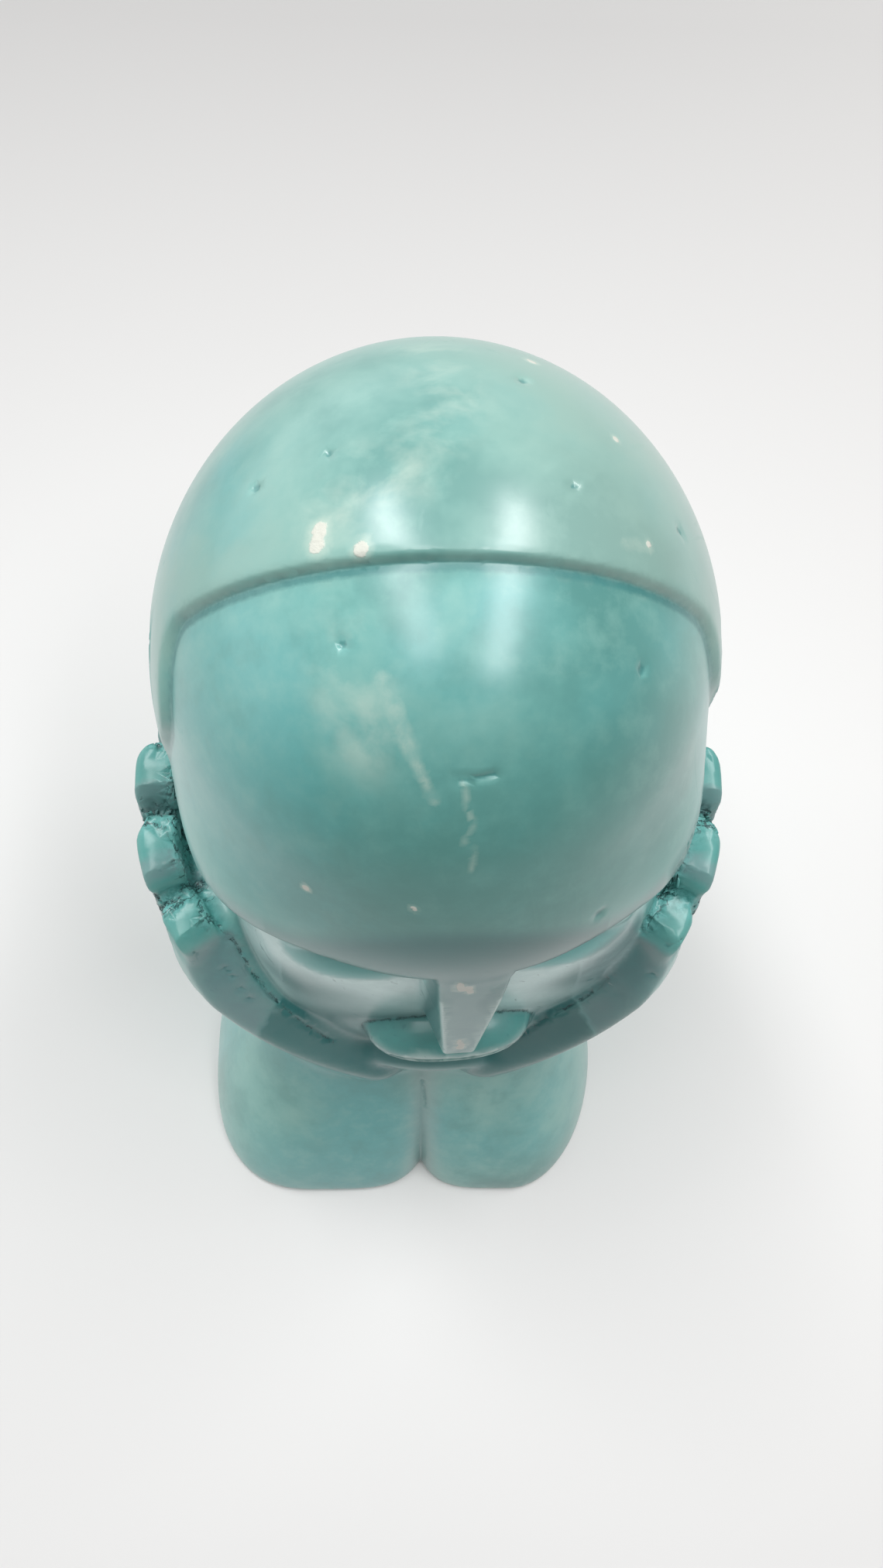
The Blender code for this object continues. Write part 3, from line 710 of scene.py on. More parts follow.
def refine(obj, wanted, cuts):
    """Finer faces where wanted, put back onto the surface."""
    bm = bmesh.new()
    bm.from_mesh(obj.data)
    near = wanted(np.array([v.co for v in bm.verts]))
    edges = [e for e in bm.edges if near[e.verts[0].index] and near[e.verts[1].index]]
    bmesh.ops.subdivide_edges(bm, edges=edges, cuts=cuts, use_grid_fill=True)
    bmesh.ops.triangulate(bm, faces=bm.faces[:])
    bm.to_mesh(obj.data)
    bm.free()
    place(obj, nearest(vertices(obj), 0.5)[0])


def sharply_bent(p):
    """Points where the surface turns quickly, such as the rim, brow, lips and strips."""
    _, normal = nearest(p, 1)
    return np.abs(bend_at(p, normal, 1.2)) > SHARP_BEND


def closely_worked(p):
    """Points close to a mark, a crack or in chiselled or flaked stone."""
    chiselled, flaked, _, _, _, line = carved_masks(p)
    dark, pale, _ = marks_at(p)
    return (np.maximum(chiselled, flaked) > 0.15) | (line < 1.5) | (np.maximum(dark, pale) > 0.1)


def bend_at(p, normal, reach):
    """How far the surface falls away round each point: above 0 on an edge, below 0 in a hollow."""
    tangent = np.cross(normal, (0.3, 0.5, 0.8))
    tangent /= np.linalg.norm(tangent, axis=1)[:, None] + 1e-9
    other = np.cross(normal, tangent)
    return sum(carving(p + side * reach) for side in (tangent, -tangent, other, -other)) / (4 * reach)


def store(obj, name, values):
    layer = obj.data.attributes.new(name, "FLOAT", "POINT")
    layer.data.foreach_set("value", values.astype(np.float32))


def shape_masks(obj):
    """What the finish needs to know of each vertex, kept on the mesh."""
    p = vertices(obj)
    _, normal = nearest(p, 1)
    to, of, count = links(obj)
    bend = bend_at(p, normal, 0.9) + bend_at(p, normal, 2.6)
    bend = gather(bend[of][:, None], to)[:, 0] / count
    masks = dict(zip(HAND_MASKS + MARK_MASKS, carved_masks(p) + marks_at(p)))
    masks["edge"] = np.clip(bend * 2.2, 0, 1)
    masks["hollow"] = np.clip(-bend * 2.2, 0, 1)
    masks["capped"] = ramp((1.2 - hair_cap(p)) / 1.2)
    masks["rim_off"] = rim_distance(p)
    masks["right_side"] = ramp((p[:, 0] + 8) / 40) * ramp((52 - p[:, 0]) / 12)
    masks["sides"] = ramp((np.abs(p[:, 0]) - 8) / 40)
    # Painted shade: the front of the forehead darkened, standing in for the dim room in front that it faces
    # and reflects
    masks["forehead_shade"] = 1 - ramp(np.linalg.norm((p - FOREHEAD_SHADE_MIDDLE) / np.array(FOREHEAD_SHADE_REACH), axis=1) - 0.35)
    below_wrists = ramp((-WRIST_DROP - p[:, 2]) / 6)
    masks["crease"] = bell(p[:, 0], CREASE_SHIFT, 3.5) * ramp((-p[:, 1] - 45) / 8) * below_wrists
    for name, values in (masks | face_masks(p, normal, bend)).items():
        store(obj, name, values)


def face_masks(p, normal, bend):
    """Sockets, cheeks and nose, the brow above them, painted highlights along their rims, and the lips."""
    f = turned(p, FACE_TURN) - (FACE_SHIFT, 0, 0)
    in_front = ramp((hands(p) - 0.3) / 0.9) * ramp((-20 - p[:, 1]) / 6) * ramp((p[:, 2] + 90) / 6)
    root = 1 - ramp((np.abs(f[:, 0]) - 6) / 6)
    under_brow = in_front * ramp((9 * root - BROW_DROP - p[:, 2]) / (3 + 9 * root))
    in_socket = 1 - ramp((socket(f) - 1.8) / 1.0)
    brow_rim = in_front * (1 - root) * bell(plane(mirrored(f), *UNDER_BROW), -0.5, 0.9)
    bent = in_front * ramp((-BROW_DROP - 8 - p[:, 2]) / 2) * ramp((bend - 0.20) / 0.25)
    off_lips = np.abs(mouth(f))
    lip = 1 - ramp(off_lips / 0.8)
    # Socket and lower brow carry painted light, cheeks and nose a painted reflection, face and lip rims
    # painted highlights
    return {"in_socket": under_brow * in_socket, "in_face": under_brow * (1 - in_socket),
            "low_brow": in_front * (1 - under_brow) * ramp((8 - p[:, 2]) / 14),
            "face_rim": np.maximum(brow_rim, bent), "lip": lip * ramp((normal[:, 2] - 0.25) / 0.3),
            "lip_rim": lip * bell(normal[:, 2], 0.12, 0.08),
            "lip_back": (1 - ramp(off_lips / 1.6)) * (1 - ramp(np.abs(lower_face(f)) / 1.3))}


def add(tree, kind, values=None, **settings):
    """A node with its settings, its inputs filled from values or linked sockets."""
    made = tree.nodes.new(kind)
    for name, value in settings.items():
        setattr(made, name, value)
    for name, value in (values or {}).items():
        if isinstance(value, bpy.types.NodeSocket):
            tree.links.new(value, made.inputs[name])
        else:
            made.inputs[name].default_value = value
    return made


def maths(tree, operation, one, two=0.0, clamp=False):
    return add(tree, "ShaderNodeMath", {0: one, 1: two}, operation=operation, use_clamp=clamp).outputs[0]


def folded(tree, operation, values):
    """The values taken together one by one."""
    result = values[0]
    for value in values[1:]:
        result = maths(tree, operation, result, value)
    return result


def product(tree, *values):
    return folded(tree, "MULTIPLY", values)


def total(tree, *values):
    return folded(tree, "ADD", values)


def highest(tree, *values):
    return folded(tree, "MAXIMUM", values)


def mixed(tree, share, one, two):
    """Colour two over colour one by the share."""
    return add(tree, "ShaderNodeMix", {0: share, 6: one, 7: two}, data_type="RGBA").outputs[2]


def stretched(tree, value, low, high, to_low=0.0, to_high=1.0):
    values = {"Value": value, "From Min": low, "From Max": high, "To Min": to_low, "To Max": to_high}
    return add(tree, "ShaderNodeMapRange", values).outputs[0]


def noise(tree, scale, detail=3.0, roughness=0.55, distortion=0.0, vector=None, seed=None):
    values = {"Scale": scale, "Detail": detail, "Roughness": roughness, "Distortion": distortion}
    if vector is not None:
        values["Vector"] = vector
    if seed is None:
        return add(tree, "ShaderNodeTexNoise", values).outputs[0]
    values["W"] = seed
    return add(tree, "ShaderNodeTexNoise", values, noise_dimensions="4D").outputs[0]


def ragged_lines(tree, scale, width, vector, seed):
    """Thin wandering lines, 1 on the line, where a noise passes its middle."""
    field = noise(tree, scale, 5.0, 0.62, 0.6, vector, seed)
    off = maths(tree, "ABSOLUTE", maths(tree, "SUBTRACT", field, 0.5))
    return stretched(tree, off, width * 0.4, width, 1.0, 0.0)


def new_tree(name, kind, inputs, outputs):
    """Tree with named inputs, each given by its usual number or colour or by its kind, and named outputs."""
    tree = bpy.data.node_groups.new(name, kind)
    for label, socket in outputs.items():
        tree.interface.new_socket(label, in_out="OUTPUT", socket_type="NodeSocket" + socket)
    for label, usual in inputs.items():
        socket = usual if isinstance(usual, str) else "Float" if isinstance(usual, float) else "Color"
        made = tree.interface.new_socket(label, in_out="INPUT", socket_type="NodeSocket" + socket)
        if socket != usual:
            made.default_value = usual
    return tree, tree.nodes.new("NodeGroupInput").outputs, tree.nodes.new("NodeGroupOutput").inputs


# Grain of the patterns, as noise scales over metres
CRACK_SCALE = 150.0
BROKEN_SCALE = 900.0
RAGGED_SCALE = 620.0
BLOTCH_SCALE = 230.0
STREAK_SCALE = 120.0
CLOSE_SCRATCHES = 420.0
SHORT_SCRATCHES = 8.0    # how many times longer than wide
SCRATCH_TURNS = ((0.4, 0.2, 0.5), (-0.7, 0.5, 1.4))
CRACK_SEED = 3.0
CRACK_WIDTH = 0.022      # share of the noise's range that a crack takes
FLAKED_SHARE = 0.7       # how much flaked stone counts as worked, beside chiselled stone
UNDERSIDE = 0.00005      # metres above the ground, below which the stone is the sawn underside

# Polish and wax
POLISH = (0.29, 0.35)    # roughness from cloud to cloud
MATT = 0.35              # rougher by this where broken, freshly cut or unwaxed
LIP_MATT = 0.6           # share of that on the lips
WAX_COAT = 0.50
WAX_ROUGHNESS = 0.21
SAWN_ROUGHNESS = 0.72
BOARD_ROUGHNESS = 0.6


def weathering():
    """Geometry tree that chisels, flakes, cracks and pits the stone and gives it its finishes."""
    inputs = {"Stone": "Geometry", "Chisel depth": 0.0015, "Flake depth": 0.0008, "Crack depth": 0.0009,
              "Pit depth": 0.0004, "Flake size": 210.0, "Seed": CRACK_SEED, "Polished": "Material",
              "Sawn": "Material"}
    tree, given, out = new_tree("weathering", "GeometryNodeTree", inputs, {"Stone": "Geometry"})

    def mask(name):
        return add(tree, "GeometryNodeInputNamedAttribute", {"Name": name}, data_type="FLOAT").outputs[0]

    place_of = tree.nodes.new("GeometryNodeInputPosition").outputs[0]
    normal = tree.nodes.new("GeometryNodeInputNormal").outputs[0]
    lumps = noise(tree, given["Flake size"], 3.0, 0.5, 0.4, place_of, given["Seed"])
    values = {"Vector": place_of, "Scale": given["Flake size"], "Randomness": 1.0}
    flakes = add(tree, "ShaderNodeTexVoronoi", values)
    flake_lift = add(tree, "ShaderNodeSeparateXYZ", {0: flakes.outputs["Color"]}).outputs[0]
    crack = ragged_lines(tree, CRACK_SCALE, CRACK_WIDTH, place_of, given["Seed"])
    worked = highest(tree, mask("chiselled"), product(tree, mask("flaked"), FLAKED_SHARE))

    ragged = maths(tree, "SUBTRACT", lumps, 0.36)
    rough_cut = product(tree, ragged, given["Chisel depth"], mask("chiselled"), 2.4)
    flaking = product(tree, flake_lift, given["Flake depth"], mask("flaked"))
    cracking = product(tree, crack, given["Crack depth"], worked)
    line = stretched(tree, mask("crack_off"), 0.2, 0.8, 1.0, 0.0)
    lining = product(tree, line, given["Crack depth"], stretched(tree, lumps, 0.40, 0.52), 0.5)
    pitting = product(tree, stretched(tree, mask("dark"), 0.3, 0.8), given["Pit depth"])
    sunk = total(tree, rough_cut, flaking, cracking, pitting, lining)
    inward = product(tree, sunk, -1.0)
    offset = add(tree, "ShaderNodeVectorMath", {0: normal, "Scale": inward}, operation="SCALE").outputs[0]
    moved = add(tree, "GeometryNodeSetPosition", {"Geometry": given["Stone"], "Offset": offset}).outputs[0]
    real = add(tree, "GeometryNodeRealizeInstances", {"Geometry": moved}).outputs[0]
    values = {"Geometry": real, "Material": given["Polished"]}
    polished = add(tree, "GeometryNodeSetMaterial", values).outputs[0]
    height = add(tree, "ShaderNodeSeparateXYZ", {0: place_of}).outputs[2]
    values = {"A": height, "B": UNDERSIDE}
    below = add(tree, "FunctionNodeCompare", values, data_type="FLOAT", operation="LESS_THAN").outputs[0]
    values = {"Geometry": polished, "Selection": below, "Material": given["Sawn"]}
    sawn = add(tree, "GeometryNodeSetMaterial", values).outputs[0]
    tree.links.new(sawn, out["Stone"])
    return tree


def finished(obj, tree, values):
    """The object with the tree's result as its plain mesh."""
    modifier = obj.modifiers.new("weathering", "NODES")
    modifier.node_group = tree
    for item in tree.interface.items_tree:
        if item.in_out == "INPUT" and item.name in values:
            modifier[item.identifier] = values[item.name]
    evaluated = obj.evaluated_get(bpy.context.evaluated_depsgraph_get())
    mesh = bpy.data.meshes.new_from_object(evaluated)
    obj.modifiers.remove(modifier)
    obj.data = mesh
    obj.data.name = obj.name
    for face in mesh.polygons:
        face.use_smooth = True
    return obj


# Colours of the stone and its dye, and of the painted light, shade, highlights and reflection laid over it
DEEP_TEAL = (0.085, 0.270, 0.250, 1)
TEAL = (0.160, 0.410, 0.375, 1)
BLUE_TEAL = (0.110, 0.410, 0.405, 1)
PALE_TEAL = (0.290, 0.540, 0.480, 1)
CAP_TEAL = (0.252, 0.435, 0.385, 1)
CREAM = (0.560, 0.660, 0.570, 1)
CHIP_CREAM = (0.680, 0.660, 0.590, 1)
FRESH_TEAL = (0.070, 0.340, 0.315, 1)
FLAKE = (0.170, 0.500, 0.480, 1)
# Painted shade: darker teal on the hands' strips and fingertips on the right side
SHADED_TEAL = (0.030, 0.085, 0.085, 1)
GREY_TEAL = (0.170, 0.300, 0.310, 1)
# Painted shade on the front of the forehead
FOREHEAD_SHADE_TEAL = (0.088, 0.262, 0.236, 1)
LIP_TEAL = (0.090, 0.340, 0.320, 1)
# Painted highlight: pale along the brow's edge, the face's bent edges and the lips' rims
RIM_HIGHLIGHT = (0.520, 0.700, 0.660, 1)
# Painted light: brighter teal on the lower brow, standing in for light from below that it gets too little of
BROW_TEAL = (0.110, 0.460, 0.400, 1)
# Painted reflection: near-white over cheeks and nose, standing in for the glossy reflection of the bright
# floor
FACE_PALE_SHEEN = (0.740, 0.960, 0.940, 1)
CREASE_GREY = (0.330, 0.440, 0.420, 1)
# Painted light: a bright teal that lifts the shaded eye sockets under the brow
SOCKET_TEAL = (0.300, 0.620, 0.600, 1)
STRIP_TEAL = (0.020, 0.150, 0.152, 1)
CAP_GREY = (0.370, 0.500, 0.440, 1)
HOLLOW_TEAL = (0.060, 0.230, 0.225, 1)
NEAR_BLACK = (0.012, 0.045, 0.050, 1)
SAWN_STONE = (0.300, 0.400, 0.360, 1)

# Parts with a tone over the clouds, their own or painted light: painted fill in the sockets and on the lower
# brow, a painted reflection on cheeks and nose, and grey partly a painted reflection on the fingertips'
# fronts. Mask, tone, blotches at which it is fullest, least and most of it
PART_TONES = (("in_socket", SOCKET_TEAL, 0.60, 0.90, 0.90), ("low_brow", BROW_TEAL, 0.60, 0.50, 0.50),
              ("in_face", FACE_PALE_SHEEN, 0.65, 0.80, 0.98), ("crease", CREASE_GREY, 0.60, 0.60, 0.60),
              ("deep", STRIP_TEAL, 0.60, 0.88, 0.88), ("lip", LIP_TEAL, 0.60, 0.60, 0.95),
              ("fresh", FRESH_TEAL, 0.60, 0.65, 0.95), ("grey", GREY_TEAL, 0.60, 0.65, 0.90))

# Tones by the surface's bend and rims: paler edges where the wax is rubbed thin, painted highlights along the
# brow, face and lip rims, and darker hollows: mask, tone and share
WEAR_HIGHLIGHT_AND_HOLLOW_TONES = (("edge", PALE_TEAL, 0.20), ("face_rim", RIM_HIGHLIGHT, 0.70), ("lip_rim", RIM_HIGHLIGHT, 0.95),
              ("hollow", HOLLOW_TEAL, 0.45))


def dye_clouds():
    """Group: cloudy dye in the stone, from deep to pale, with bluer patches."""
    inputs = {"Deep": DEEP_TEAL, "Middle": TEAL, "Blue": BLUE_TEAL, "Pale": PALE_TEAL, "Cloud scale": 26.0,
              "Grain scale": 700.0}
    outputs = {"Color": "Color", "Cloud": "Float", "Grain": "Float"}
    tree, given, out = new_tree("dye_clouds", "ShaderNodeTree", inputs, outputs)
    at = tree.nodes.new("ShaderNodeTexCoord").outputs["Object"]
    clouds = noise(tree, given["Cloud scale"], 5.0, 0.6, 0.15, at)
    patches = noise(tree, product(tree, given["Cloud scale"], 0.7), 3.0, 0.5, 0.2, at, 4.0)
    small = noise(tree, product(tree, given["Cloud scale"], 6.0), 5.0, 0.62, 0.1, at)
    grain = noise(tree, given["Grain scale"], 2.0, 0.6, 0.0, at)
    tone = mixed(tree, stretched(tree, clouds, 0.38, 0.54), given["Deep"], given["Middle"])
    tone = mixed(tree, stretched(tree, patches, 0.47, 0.58, 0.0, 0.85), tone, given["Blue"])
    tone = mixed(tree, stretched(tree, clouds, 0.52, 0.70, 0.0, 0.7), tone, given["Pale"])
    tone = mixed(tree, stretched(tree, small, 0.50, 0.72, 0.0, 0.36), tone, given["Pale"])
    tone = mixed(tree, stretched(tree, small, 0.30, 0.48, 0.36, 0.0), tone, given["Deep"])
    tree.links.new(tone, out["Color"])
    tree.links.new(clouds, out["Cloud"])
    tree.links.new(grain, out["Grain"])
    return tree


def hairlines():
    """Group: fine scratches of the sanding, lying two ways."""
    inputs = {"Density": 260.0, "Length": 14.0, "Amount": 1.0}
    tree, given, out = new_tree("hairlines", "ShaderNodeTree", inputs, {"Mask": "Float"})
    at = tree.nodes.new("ShaderNodeTexCoord").outputs["Object"]
    both = 0.0
    along = maths(tree, "DIVIDE", 1.0, given["Length"])
    squeeze = add(tree, "ShaderNodeCombineXYZ", {0: 1.0, 1: 1.0, 2: along}).outputs[0]
    for turn in SCRATCH_TURNS:
        turned_at = add(tree, "ShaderNodeMapping", {"Vector": at, "Rotation": turn}).outputs[0]
        drawn = add(tree, "ShaderNodeVectorMath", {0: turned_at, 1: squeeze}, operation="MULTIPLY").outputs[0]
        line = noise(tree, given["Density"], 2.0, 0.7, 0.3, drawn)
        both = highest(tree, both, stretched(tree, line, 0.66, 0.74))
    tree.links.new(product(tree, both, given["Amount"]), out["Mask"])
    return tree


def attribute(tree, name):
    return add(tree, "ShaderNodeAttribute", attribute_name=name).outputs["Fac"]


def new_material(name):
    material = bpy.data.materials.new(name)
    material.use_nodes = True
    return material, material.node_tree, material.node_tree.nodes["Principled BSDF"]


def crack_lines(tree, at, blotch, ragged, worked):
    """Thin dark lines: in worked stone, along the inside of each strip, and behind the lips."""
    crack = ragged_lines(tree, CRACK_SCALE, CRACK_WIDTH, at, CRACK_SEED)
    crack = product(tree, crack, stretched(tree, worked, 0.2, 0.6))
    wander = product(tree, maths(tree, "SUBTRACT", blotch, 0.5), 2.4)
    off = total(tree, attribute(tree, "crack_off"), wander, product(tree, ragged, 2.0))
    thin = stretched(tree, maths(tree, "ABSOLUTE", off), 0.08, 0.28, 1.0, 0.0)
    thin = product(tree, thin, stretched(tree, blotch, 0.40, 0.50))
    seam = stretched(tree, total(tree, attribute(tree, "lip_back"), product(tree, ragged, 1.6)), 0.62, 0.86)
    return highest(tree, crack, thin, product(tree, seam, 0.8))


def polished_stone(dye, scratches):
    """Dyed, sanded and waxed soapstone, rough and dull where the chisel or a break shows."""
    material, tree, shader = new_material("polished_soapstone")
    clouds = add(tree, "ShaderNodeGroup", node_tree=dye).outputs
    lines = add(tree, "ShaderNodeGroup", node_tree=scratches).outputs["Mask"]
    values = {"Density": CLOSE_SCRATCHES, "Length": SHORT_SCRATCHES}
    scribble = add(tree, "ShaderNodeGroup", values, node_tree=scratches).outputs["Mask"]
    at = tree.nodes.new("ShaderNodeTexCoord").outputs["Object"]
    broken = noise(tree, BROKEN_SCALE, 4.0, 0.6, 0.3, at)
    blotch = noise(tree, BLOTCH_SCALE, 5.0, 0.62, 0.15, at)
    streaky = noise(tree, STREAK_SCALE, 4.0, 0.55, 0.3, at)
    ragged = maths(tree, "SUBTRACT", noise(tree, RAGGED_SCALE, 5.0, 0.7, 0.5, at), 0.5)
    tone = clouds["Color"]

    def mask(name):
        return attribute(tree, name)

    def all_but(name):
        return maths(tree, "SUBTRACT", 1.0, mask(name))

    def lay(colour, *shares):
        """The colour over the tone so far, by the product of the shares."""
        nonlocal tone
        tone = mixed(tree, product(tree, *shares), tone, colour)

    def blotched(low, high, least=0.0, most=1.0):
        return stretched(tree, blotch, low, high, least, most)

    def frayed(value, amount, low, high):
        """The value with a ragged edge, sharpened."""
        return stretched(tree, total(tree, value, product(tree, ragged, amount)), low, high)

    lay(CAP_TEAL, mask("capped"), stretched(tree, clouds["Cloud"], 0.38, 0.62, 0.25, 0.85))
    lay(CAP_GREY, mask("capped"), mask("right_side"), 0.5)
    lay(PALE_TEAL, mask("sides"), all_but("capped"), 0.30)
    # Painted shade: the front of the forehead darkened, as if facing the dim room in front
    lay(FOREHEAD_SHADE_TEAL, mask("forehead_shade"), blotched(0.25, 0.6, 0.62, 0.92))
    lay(CREAM, mask("vein"), stretched(tree, streaky, 0.44, 0.68), 0.42)
    for name, colour, fullest, least, most in PART_TONES:
        lay(colour, mask(name), blotched(0.3, fullest, least, most))
    # Painted shade: the strips, facets and fingertip tops on the right side darkened, standing in for the
    # dimmer light there
    off_light = highest(tree, mask("deep"), mask("grey"), mask("fresh"))
    lay(SHADED_TEAL, mask("right_side"), off_light, all_but("in_face"), 0.5)
    # Paler worn edges, painted highlights on the face and lip rims, and darker hollows
    for name, colour, share in WEAR_HIGHLIGHT_AND_HOLLOW_TONES:
        lay(colour, mask(name), share)
    lay(PALE_TEAL, lines, 0.04)
    scribbled = highest(tree, mask("in_face"), product(tree, mask("grey"), 0.8))
    lay(HOLLOW_TEAL, scribble, scribbled, blotched(0.45, 0.6), 0.7)

    lay(FLAKE, mask("flaked"), stretched(tree, broken, 0.40, 0.58))
    # Chiselled notches between the fingertips darkened nearly to black
    lay(NEAR_BLACK, stretched(tree, mask("chiselled"), 0.45, 0.85), blotched(0.51, 0.43), 0.85)
    worked = highest(tree, mask("chiselled"), product(tree, mask("flaked"), FLAKED_SHARE))
    crack = crack_lines(tree, at, blotch, ragged, worked)
    lay(NEAR_BLACK, crack, 0.85)
    # Painted shadow: a dark line on the forehead just in front of the cap's rim, where the rim's step casts
    # shade
    rim_off = total(tree, mask("rim_off"), product(tree, ragged, 0.8))
    off_line = maths(tree, "ABSOLUTE", maths(tree, "SUBTRACT", rim_off, 0.9))
    lay(HOLLOW_TEAL, stretched(tree, off_line, 0.25, 0.9, 1.0, 0.0), blotched(0.3, 0.6, 0.5, 0.9))
    lay(CREAM, frayed(mask("pale"), 0.35, 0.18, 0.72), blotched(0.35, 0.65, 0.15, 0.75))
    chipped = frayed(mask("pale"), 0.6, 0.66, 0.76)
    lay(CHIP_CREAM, chipped, 0.8)
    lay(HOLLOW_TEAL, frayed(mask("dark"), 0.8, 0.45, 0.80), 0.65)
    tree.links.new(tone, shader.inputs["Base Color"])

    dull = highest(tree, worked, chipped)
    matt = highest(tree, dull, mask("fresh"), product(tree, mask("lip"), LIP_MATT))
    rough = total(tree, stretched(tree, clouds["Cloud"], 0.3, 0.7, *POLISH), product(tree, matt, MATT))
    rough = maths(tree, "ADD", rough, product(tree, lines, 0.08), clamp=True)
    tree.links.new(rough, shader.inputs["Roughness"])
    height = total(tree, product(tree, clouds["Grain"], 0.05), product(tree, lines, -0.15),
                   product(tree, broken, dull, 3.0), product(tree, crack, -2.0))
    bump = add(tree, "ShaderNodeBump", {"Strength": 0.35, "Distance": 0.0002, "Height": height})
    tree.links.new(bump.outputs[0], shader.inputs["Normal"])
    shader.inputs["Coat Weight"].default_value = WAX_COAT
    shader.inputs["Coat Roughness"].default_value = WAX_ROUGHNESS
    return material


def sawn_stone(dye, scratches):
    """Underside: sawn flat, rubbed down and hardly dyed."""
    material, tree, shader = new_material("sawn_soapstone")
    values = {"Deep": TEAL, "Middle": SAWN_STONE, "Blue": PALE_TEAL, "Pale": CREAM, "Cloud scale": 45.0}
    clouds = add(tree, "ShaderNodeGroup", values, node_tree=dye).outputs
    lines = add(tree, "ShaderNodeGroup", {"Density": CLOSE_SCRATCHES}, node_tree=scratches).outputs["Mask"]
    tone = mixed(tree, product(tree, lines, 0.4), clouds["Color"], CREAM)
    tree.links.new(tone, shader.inputs["Base Color"])
    shader.inputs["Roughness"].default_value = SAWN_ROUGHNESS
    height = maths(tree, "SUBTRACT", clouds["Grain"], lines)
    bump = add(tree, "ShaderNodeBump", {"Strength": 0.4, "Distance": 0.0003, "Height": height})
    tree.links.new(bump.outputs[0], shader.inputs["Normal"])
    return material


# Studio, in metres
FLOOR_HALF = 3.0
# Floor tones: the board's own pale tone, painted darker to the back, front and right as shade where less
# light falls
FLOOR_NEAR = (0.755, 0.750, 0.745, 1)
FLOOR_FAR = (0.53, 0.525, 0.52, 1)
FLOOR_FADE = (0.05, 0.37)
FLOOR_FRONT = (0.62, 0.615, 0.61, 1)
FLOOR_DIM = (-0.08, -0.28)
FLOOR_RIGHT = (0.62, 0.61, 0.60, 1)
FLOOR_RIGHT_FADE = (0.06, 0.40)
STRIP_HEIGHT = 1.15
STRIPS = (("left_front", (-0.09, -0.38), (-0.28, 0.20), 0.20, 2.9),    # front, back, width, watts
          ("left_back", (-0.28, 0.20), (-0.43, 0.65), 0.20, 4.6),
          ("right_front", (0.42, -0.48), (0.48, 0.15), 0.22, 4.6),
          ("right_back", (0.48, 0.15), (0.53, 0.67), 0.22, 5.4))
PANEL = (0.00, 0.16, 1.22)       # place, size and watts of the dimmer soft box over them
PANEL_SIZE = (0.80, 1.10)
PANEL_POWER = 0.6
WALLS = (1.15, 1.15, 1.15, 1)    # brightness of the room, and how each side fades in along its axis
RIGHT_WALL = (0.10, 0.10, 0.10, 1)
RIGHT_FADE = (-0.3, 0.6)
ZENITH = (0.30, 0.30, 0.30, 1)
ZENITH_FADE = (0.35, 0.85)
FRONT = (0.085, 0.085, 0.085, 1)
FRONT_FADE = (-0.10, -0.65)


def studio_floor():
    """Pale board, painted a little greyer to the back, the front and the right as shade where less light
    falls there.
    """
    bpy.ops.mesh.primitive_grid_add(x_subdivisions=8, y_subdivisions=8, size=2 * FLOOR_HALF)
    floor = bpy.context.object
    floor.name = floor.data.name = "studio_floor"
    material, tree, shader = new_material("pale_board")
    at = tree.nodes.new("ShaderNodeTexCoord").outputs["Object"]
    across, back, _ = add(tree, "ShaderNodeSeparateXYZ", {0: at}).outputs
    tone = mixed(tree, stretched(tree, back, *FLOOR_FADE), FLOOR_NEAR, FLOOR_FAR)
    tone = mixed(tree, stretched(tree, back, *FLOOR_DIM), tone, FLOOR_FRONT)
    tone = mixed(tree, stretched(tree, across, *FLOOR_RIGHT_FADE), tone, FLOOR_RIGHT)
    tree.links.new(tone, shader.inputs["Base Color"])
    shader.inputs["Roughness"].default_value = BOARD_ROUGHNESS
    floor.data.materials.append(material)


def area_lamp(name, width, length, watts, at, turn=0.0):
    """Rectangular lamp facing down."""
    lamp = bpy.data.lights.new(name, "AREA")
    lamp.shape = "RECTANGLE"
    lamp.size, lamp.size_y = width, length
    lamp.energy = watts
    holder = bpy.data.objects.new(name, lamp)
    holder.location = at
    holder.rotation_euler = (0, 0, turn)
    bpy.context.scene.collection.objects.link(holder)


def strip_lights():
    """Two rows of narrow lamps overhead, running front to back, each row bent where its two lamps meet."""
    for name, front, back, width, watts in STRIPS:
        run = Vector(back) - Vector(front)
        middle = (Vector(front) + Vector(back)) / 2
        area_lamp(name, width, run.length, watts, (*middle, STRIP_HEIGHT), math.atan2(-run.x, run.y))


def soft_box():
    """Wide dim panel above the rows."""
    area_lamp("soft_box", *PANEL_SIZE, PANEL_POWER, PANEL)


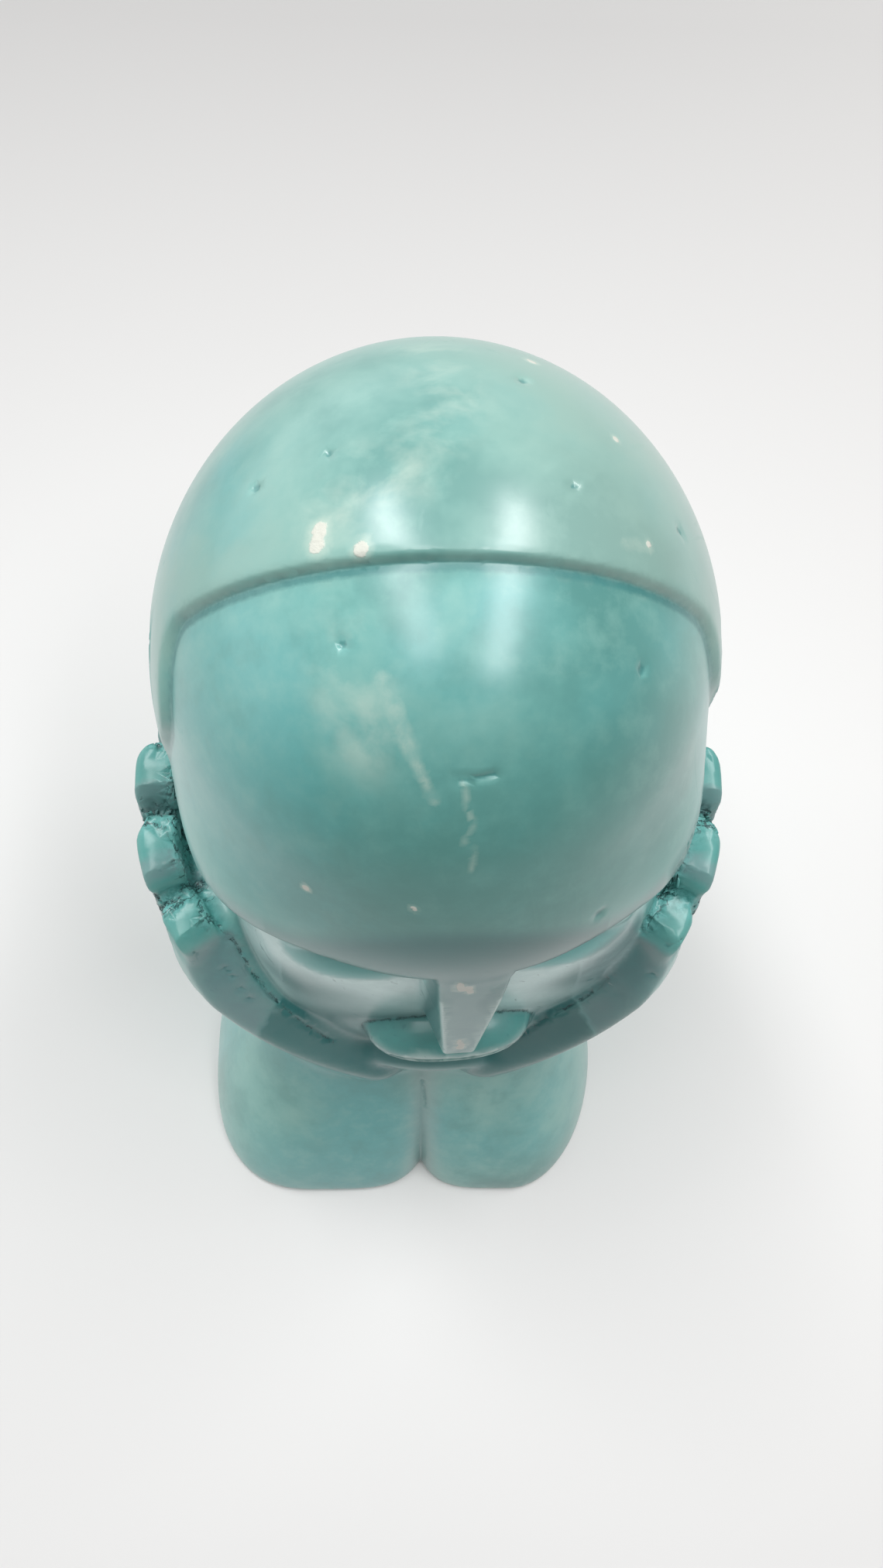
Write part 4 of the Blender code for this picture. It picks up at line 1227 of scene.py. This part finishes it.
def room():
    """Room that is white to the left, dark to the right, and dimmer overhead and to the front."""
    world = bpy.data.worlds.new("white_room")
    bpy.context.scene.world = world
    world.use_nodes = True
    tree = world.node_tree
    way = tree.nodes.new("ShaderNodeTexCoord").outputs["Generated"]
    across, back, up = add(tree, "ShaderNodeSeparateXYZ", {0: way}).outputs
    tone = mixed(tree, stretched(tree, across, *RIGHT_FADE), WALLS, RIGHT_WALL)
    tone = mixed(tree, stretched(tree, up, *ZENITH_FADE), tone, ZENITH)
    tone = mixed(tree, stretched(tree, back, *FRONT_FADE), tone, FRONT)
    tree.links.new(tone, tree.nodes["Background"].inputs["Color"])


# Camera: close above the brow, as in the photograph
PICTURE = (1140, 2025)
FOCAL_PIXELS = 1521.0
CAMERA_PITCH = math.radians(69.0)
CAMERA_TURN = math.radians(-6.0)
CAMERA_ROLL = math.radians(-6.0)
CAMERA_FROM_HEAD = (-6.1, -96.1, 186.4)
SENSOR = 36.0


def camera(middle):
    """Camera looking down at the head; middle is where the head's middle stands in plan, in millimetres."""
    data = bpy.data.cameras.new("camera")
    data.sensor_width = SENSOR
    data.lens = FOCAL_PIXELS * SENSOR / max(PICTURE)
    data.clip_start = 0.01
    holder = bpy.data.objects.new("camera", data)
    bpy.context.scene.collection.objects.link(holder)
    x, y, z = CAMERA_FROM_HEAD
    stand = Matrix.Translation(Vector((x + middle[0], y + middle[1], z + HEAD_LIFT)) * MM)
    for angle, axis in ((CAMERA_TURN, "Z"), (math.pi / 2 - CAMERA_PITCH, "X"), (-CAMERA_ROLL, "Z")):
        stand = stand @ Matrix.Rotation(angle, 4, axis)
    holder.matrix_world = stand
    bpy.context.scene.camera = holder


def main():
    carved = blank("fine_carving")
    carve(carved)
    refine(carved, sharply_bent, 1)
    refine(carved, closely_worked, 2)
    shape_masks(carved)
    middle = set_down(carved)
    dye, scratches = dye_clouds(), hairlines()
    values = {"Polished": polished_stone(dye, scratches), "Sawn": sawn_stone(dye, scratches)}
    finished(carved, weathering(), values)
    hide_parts(NODE)
    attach(carved, "root")
    studio_floor()
    strip_lights()
    soft_box()
    room()
    camera(middle)
    bpy.context.scene.view_settings.view_transform = "Standard"


main()
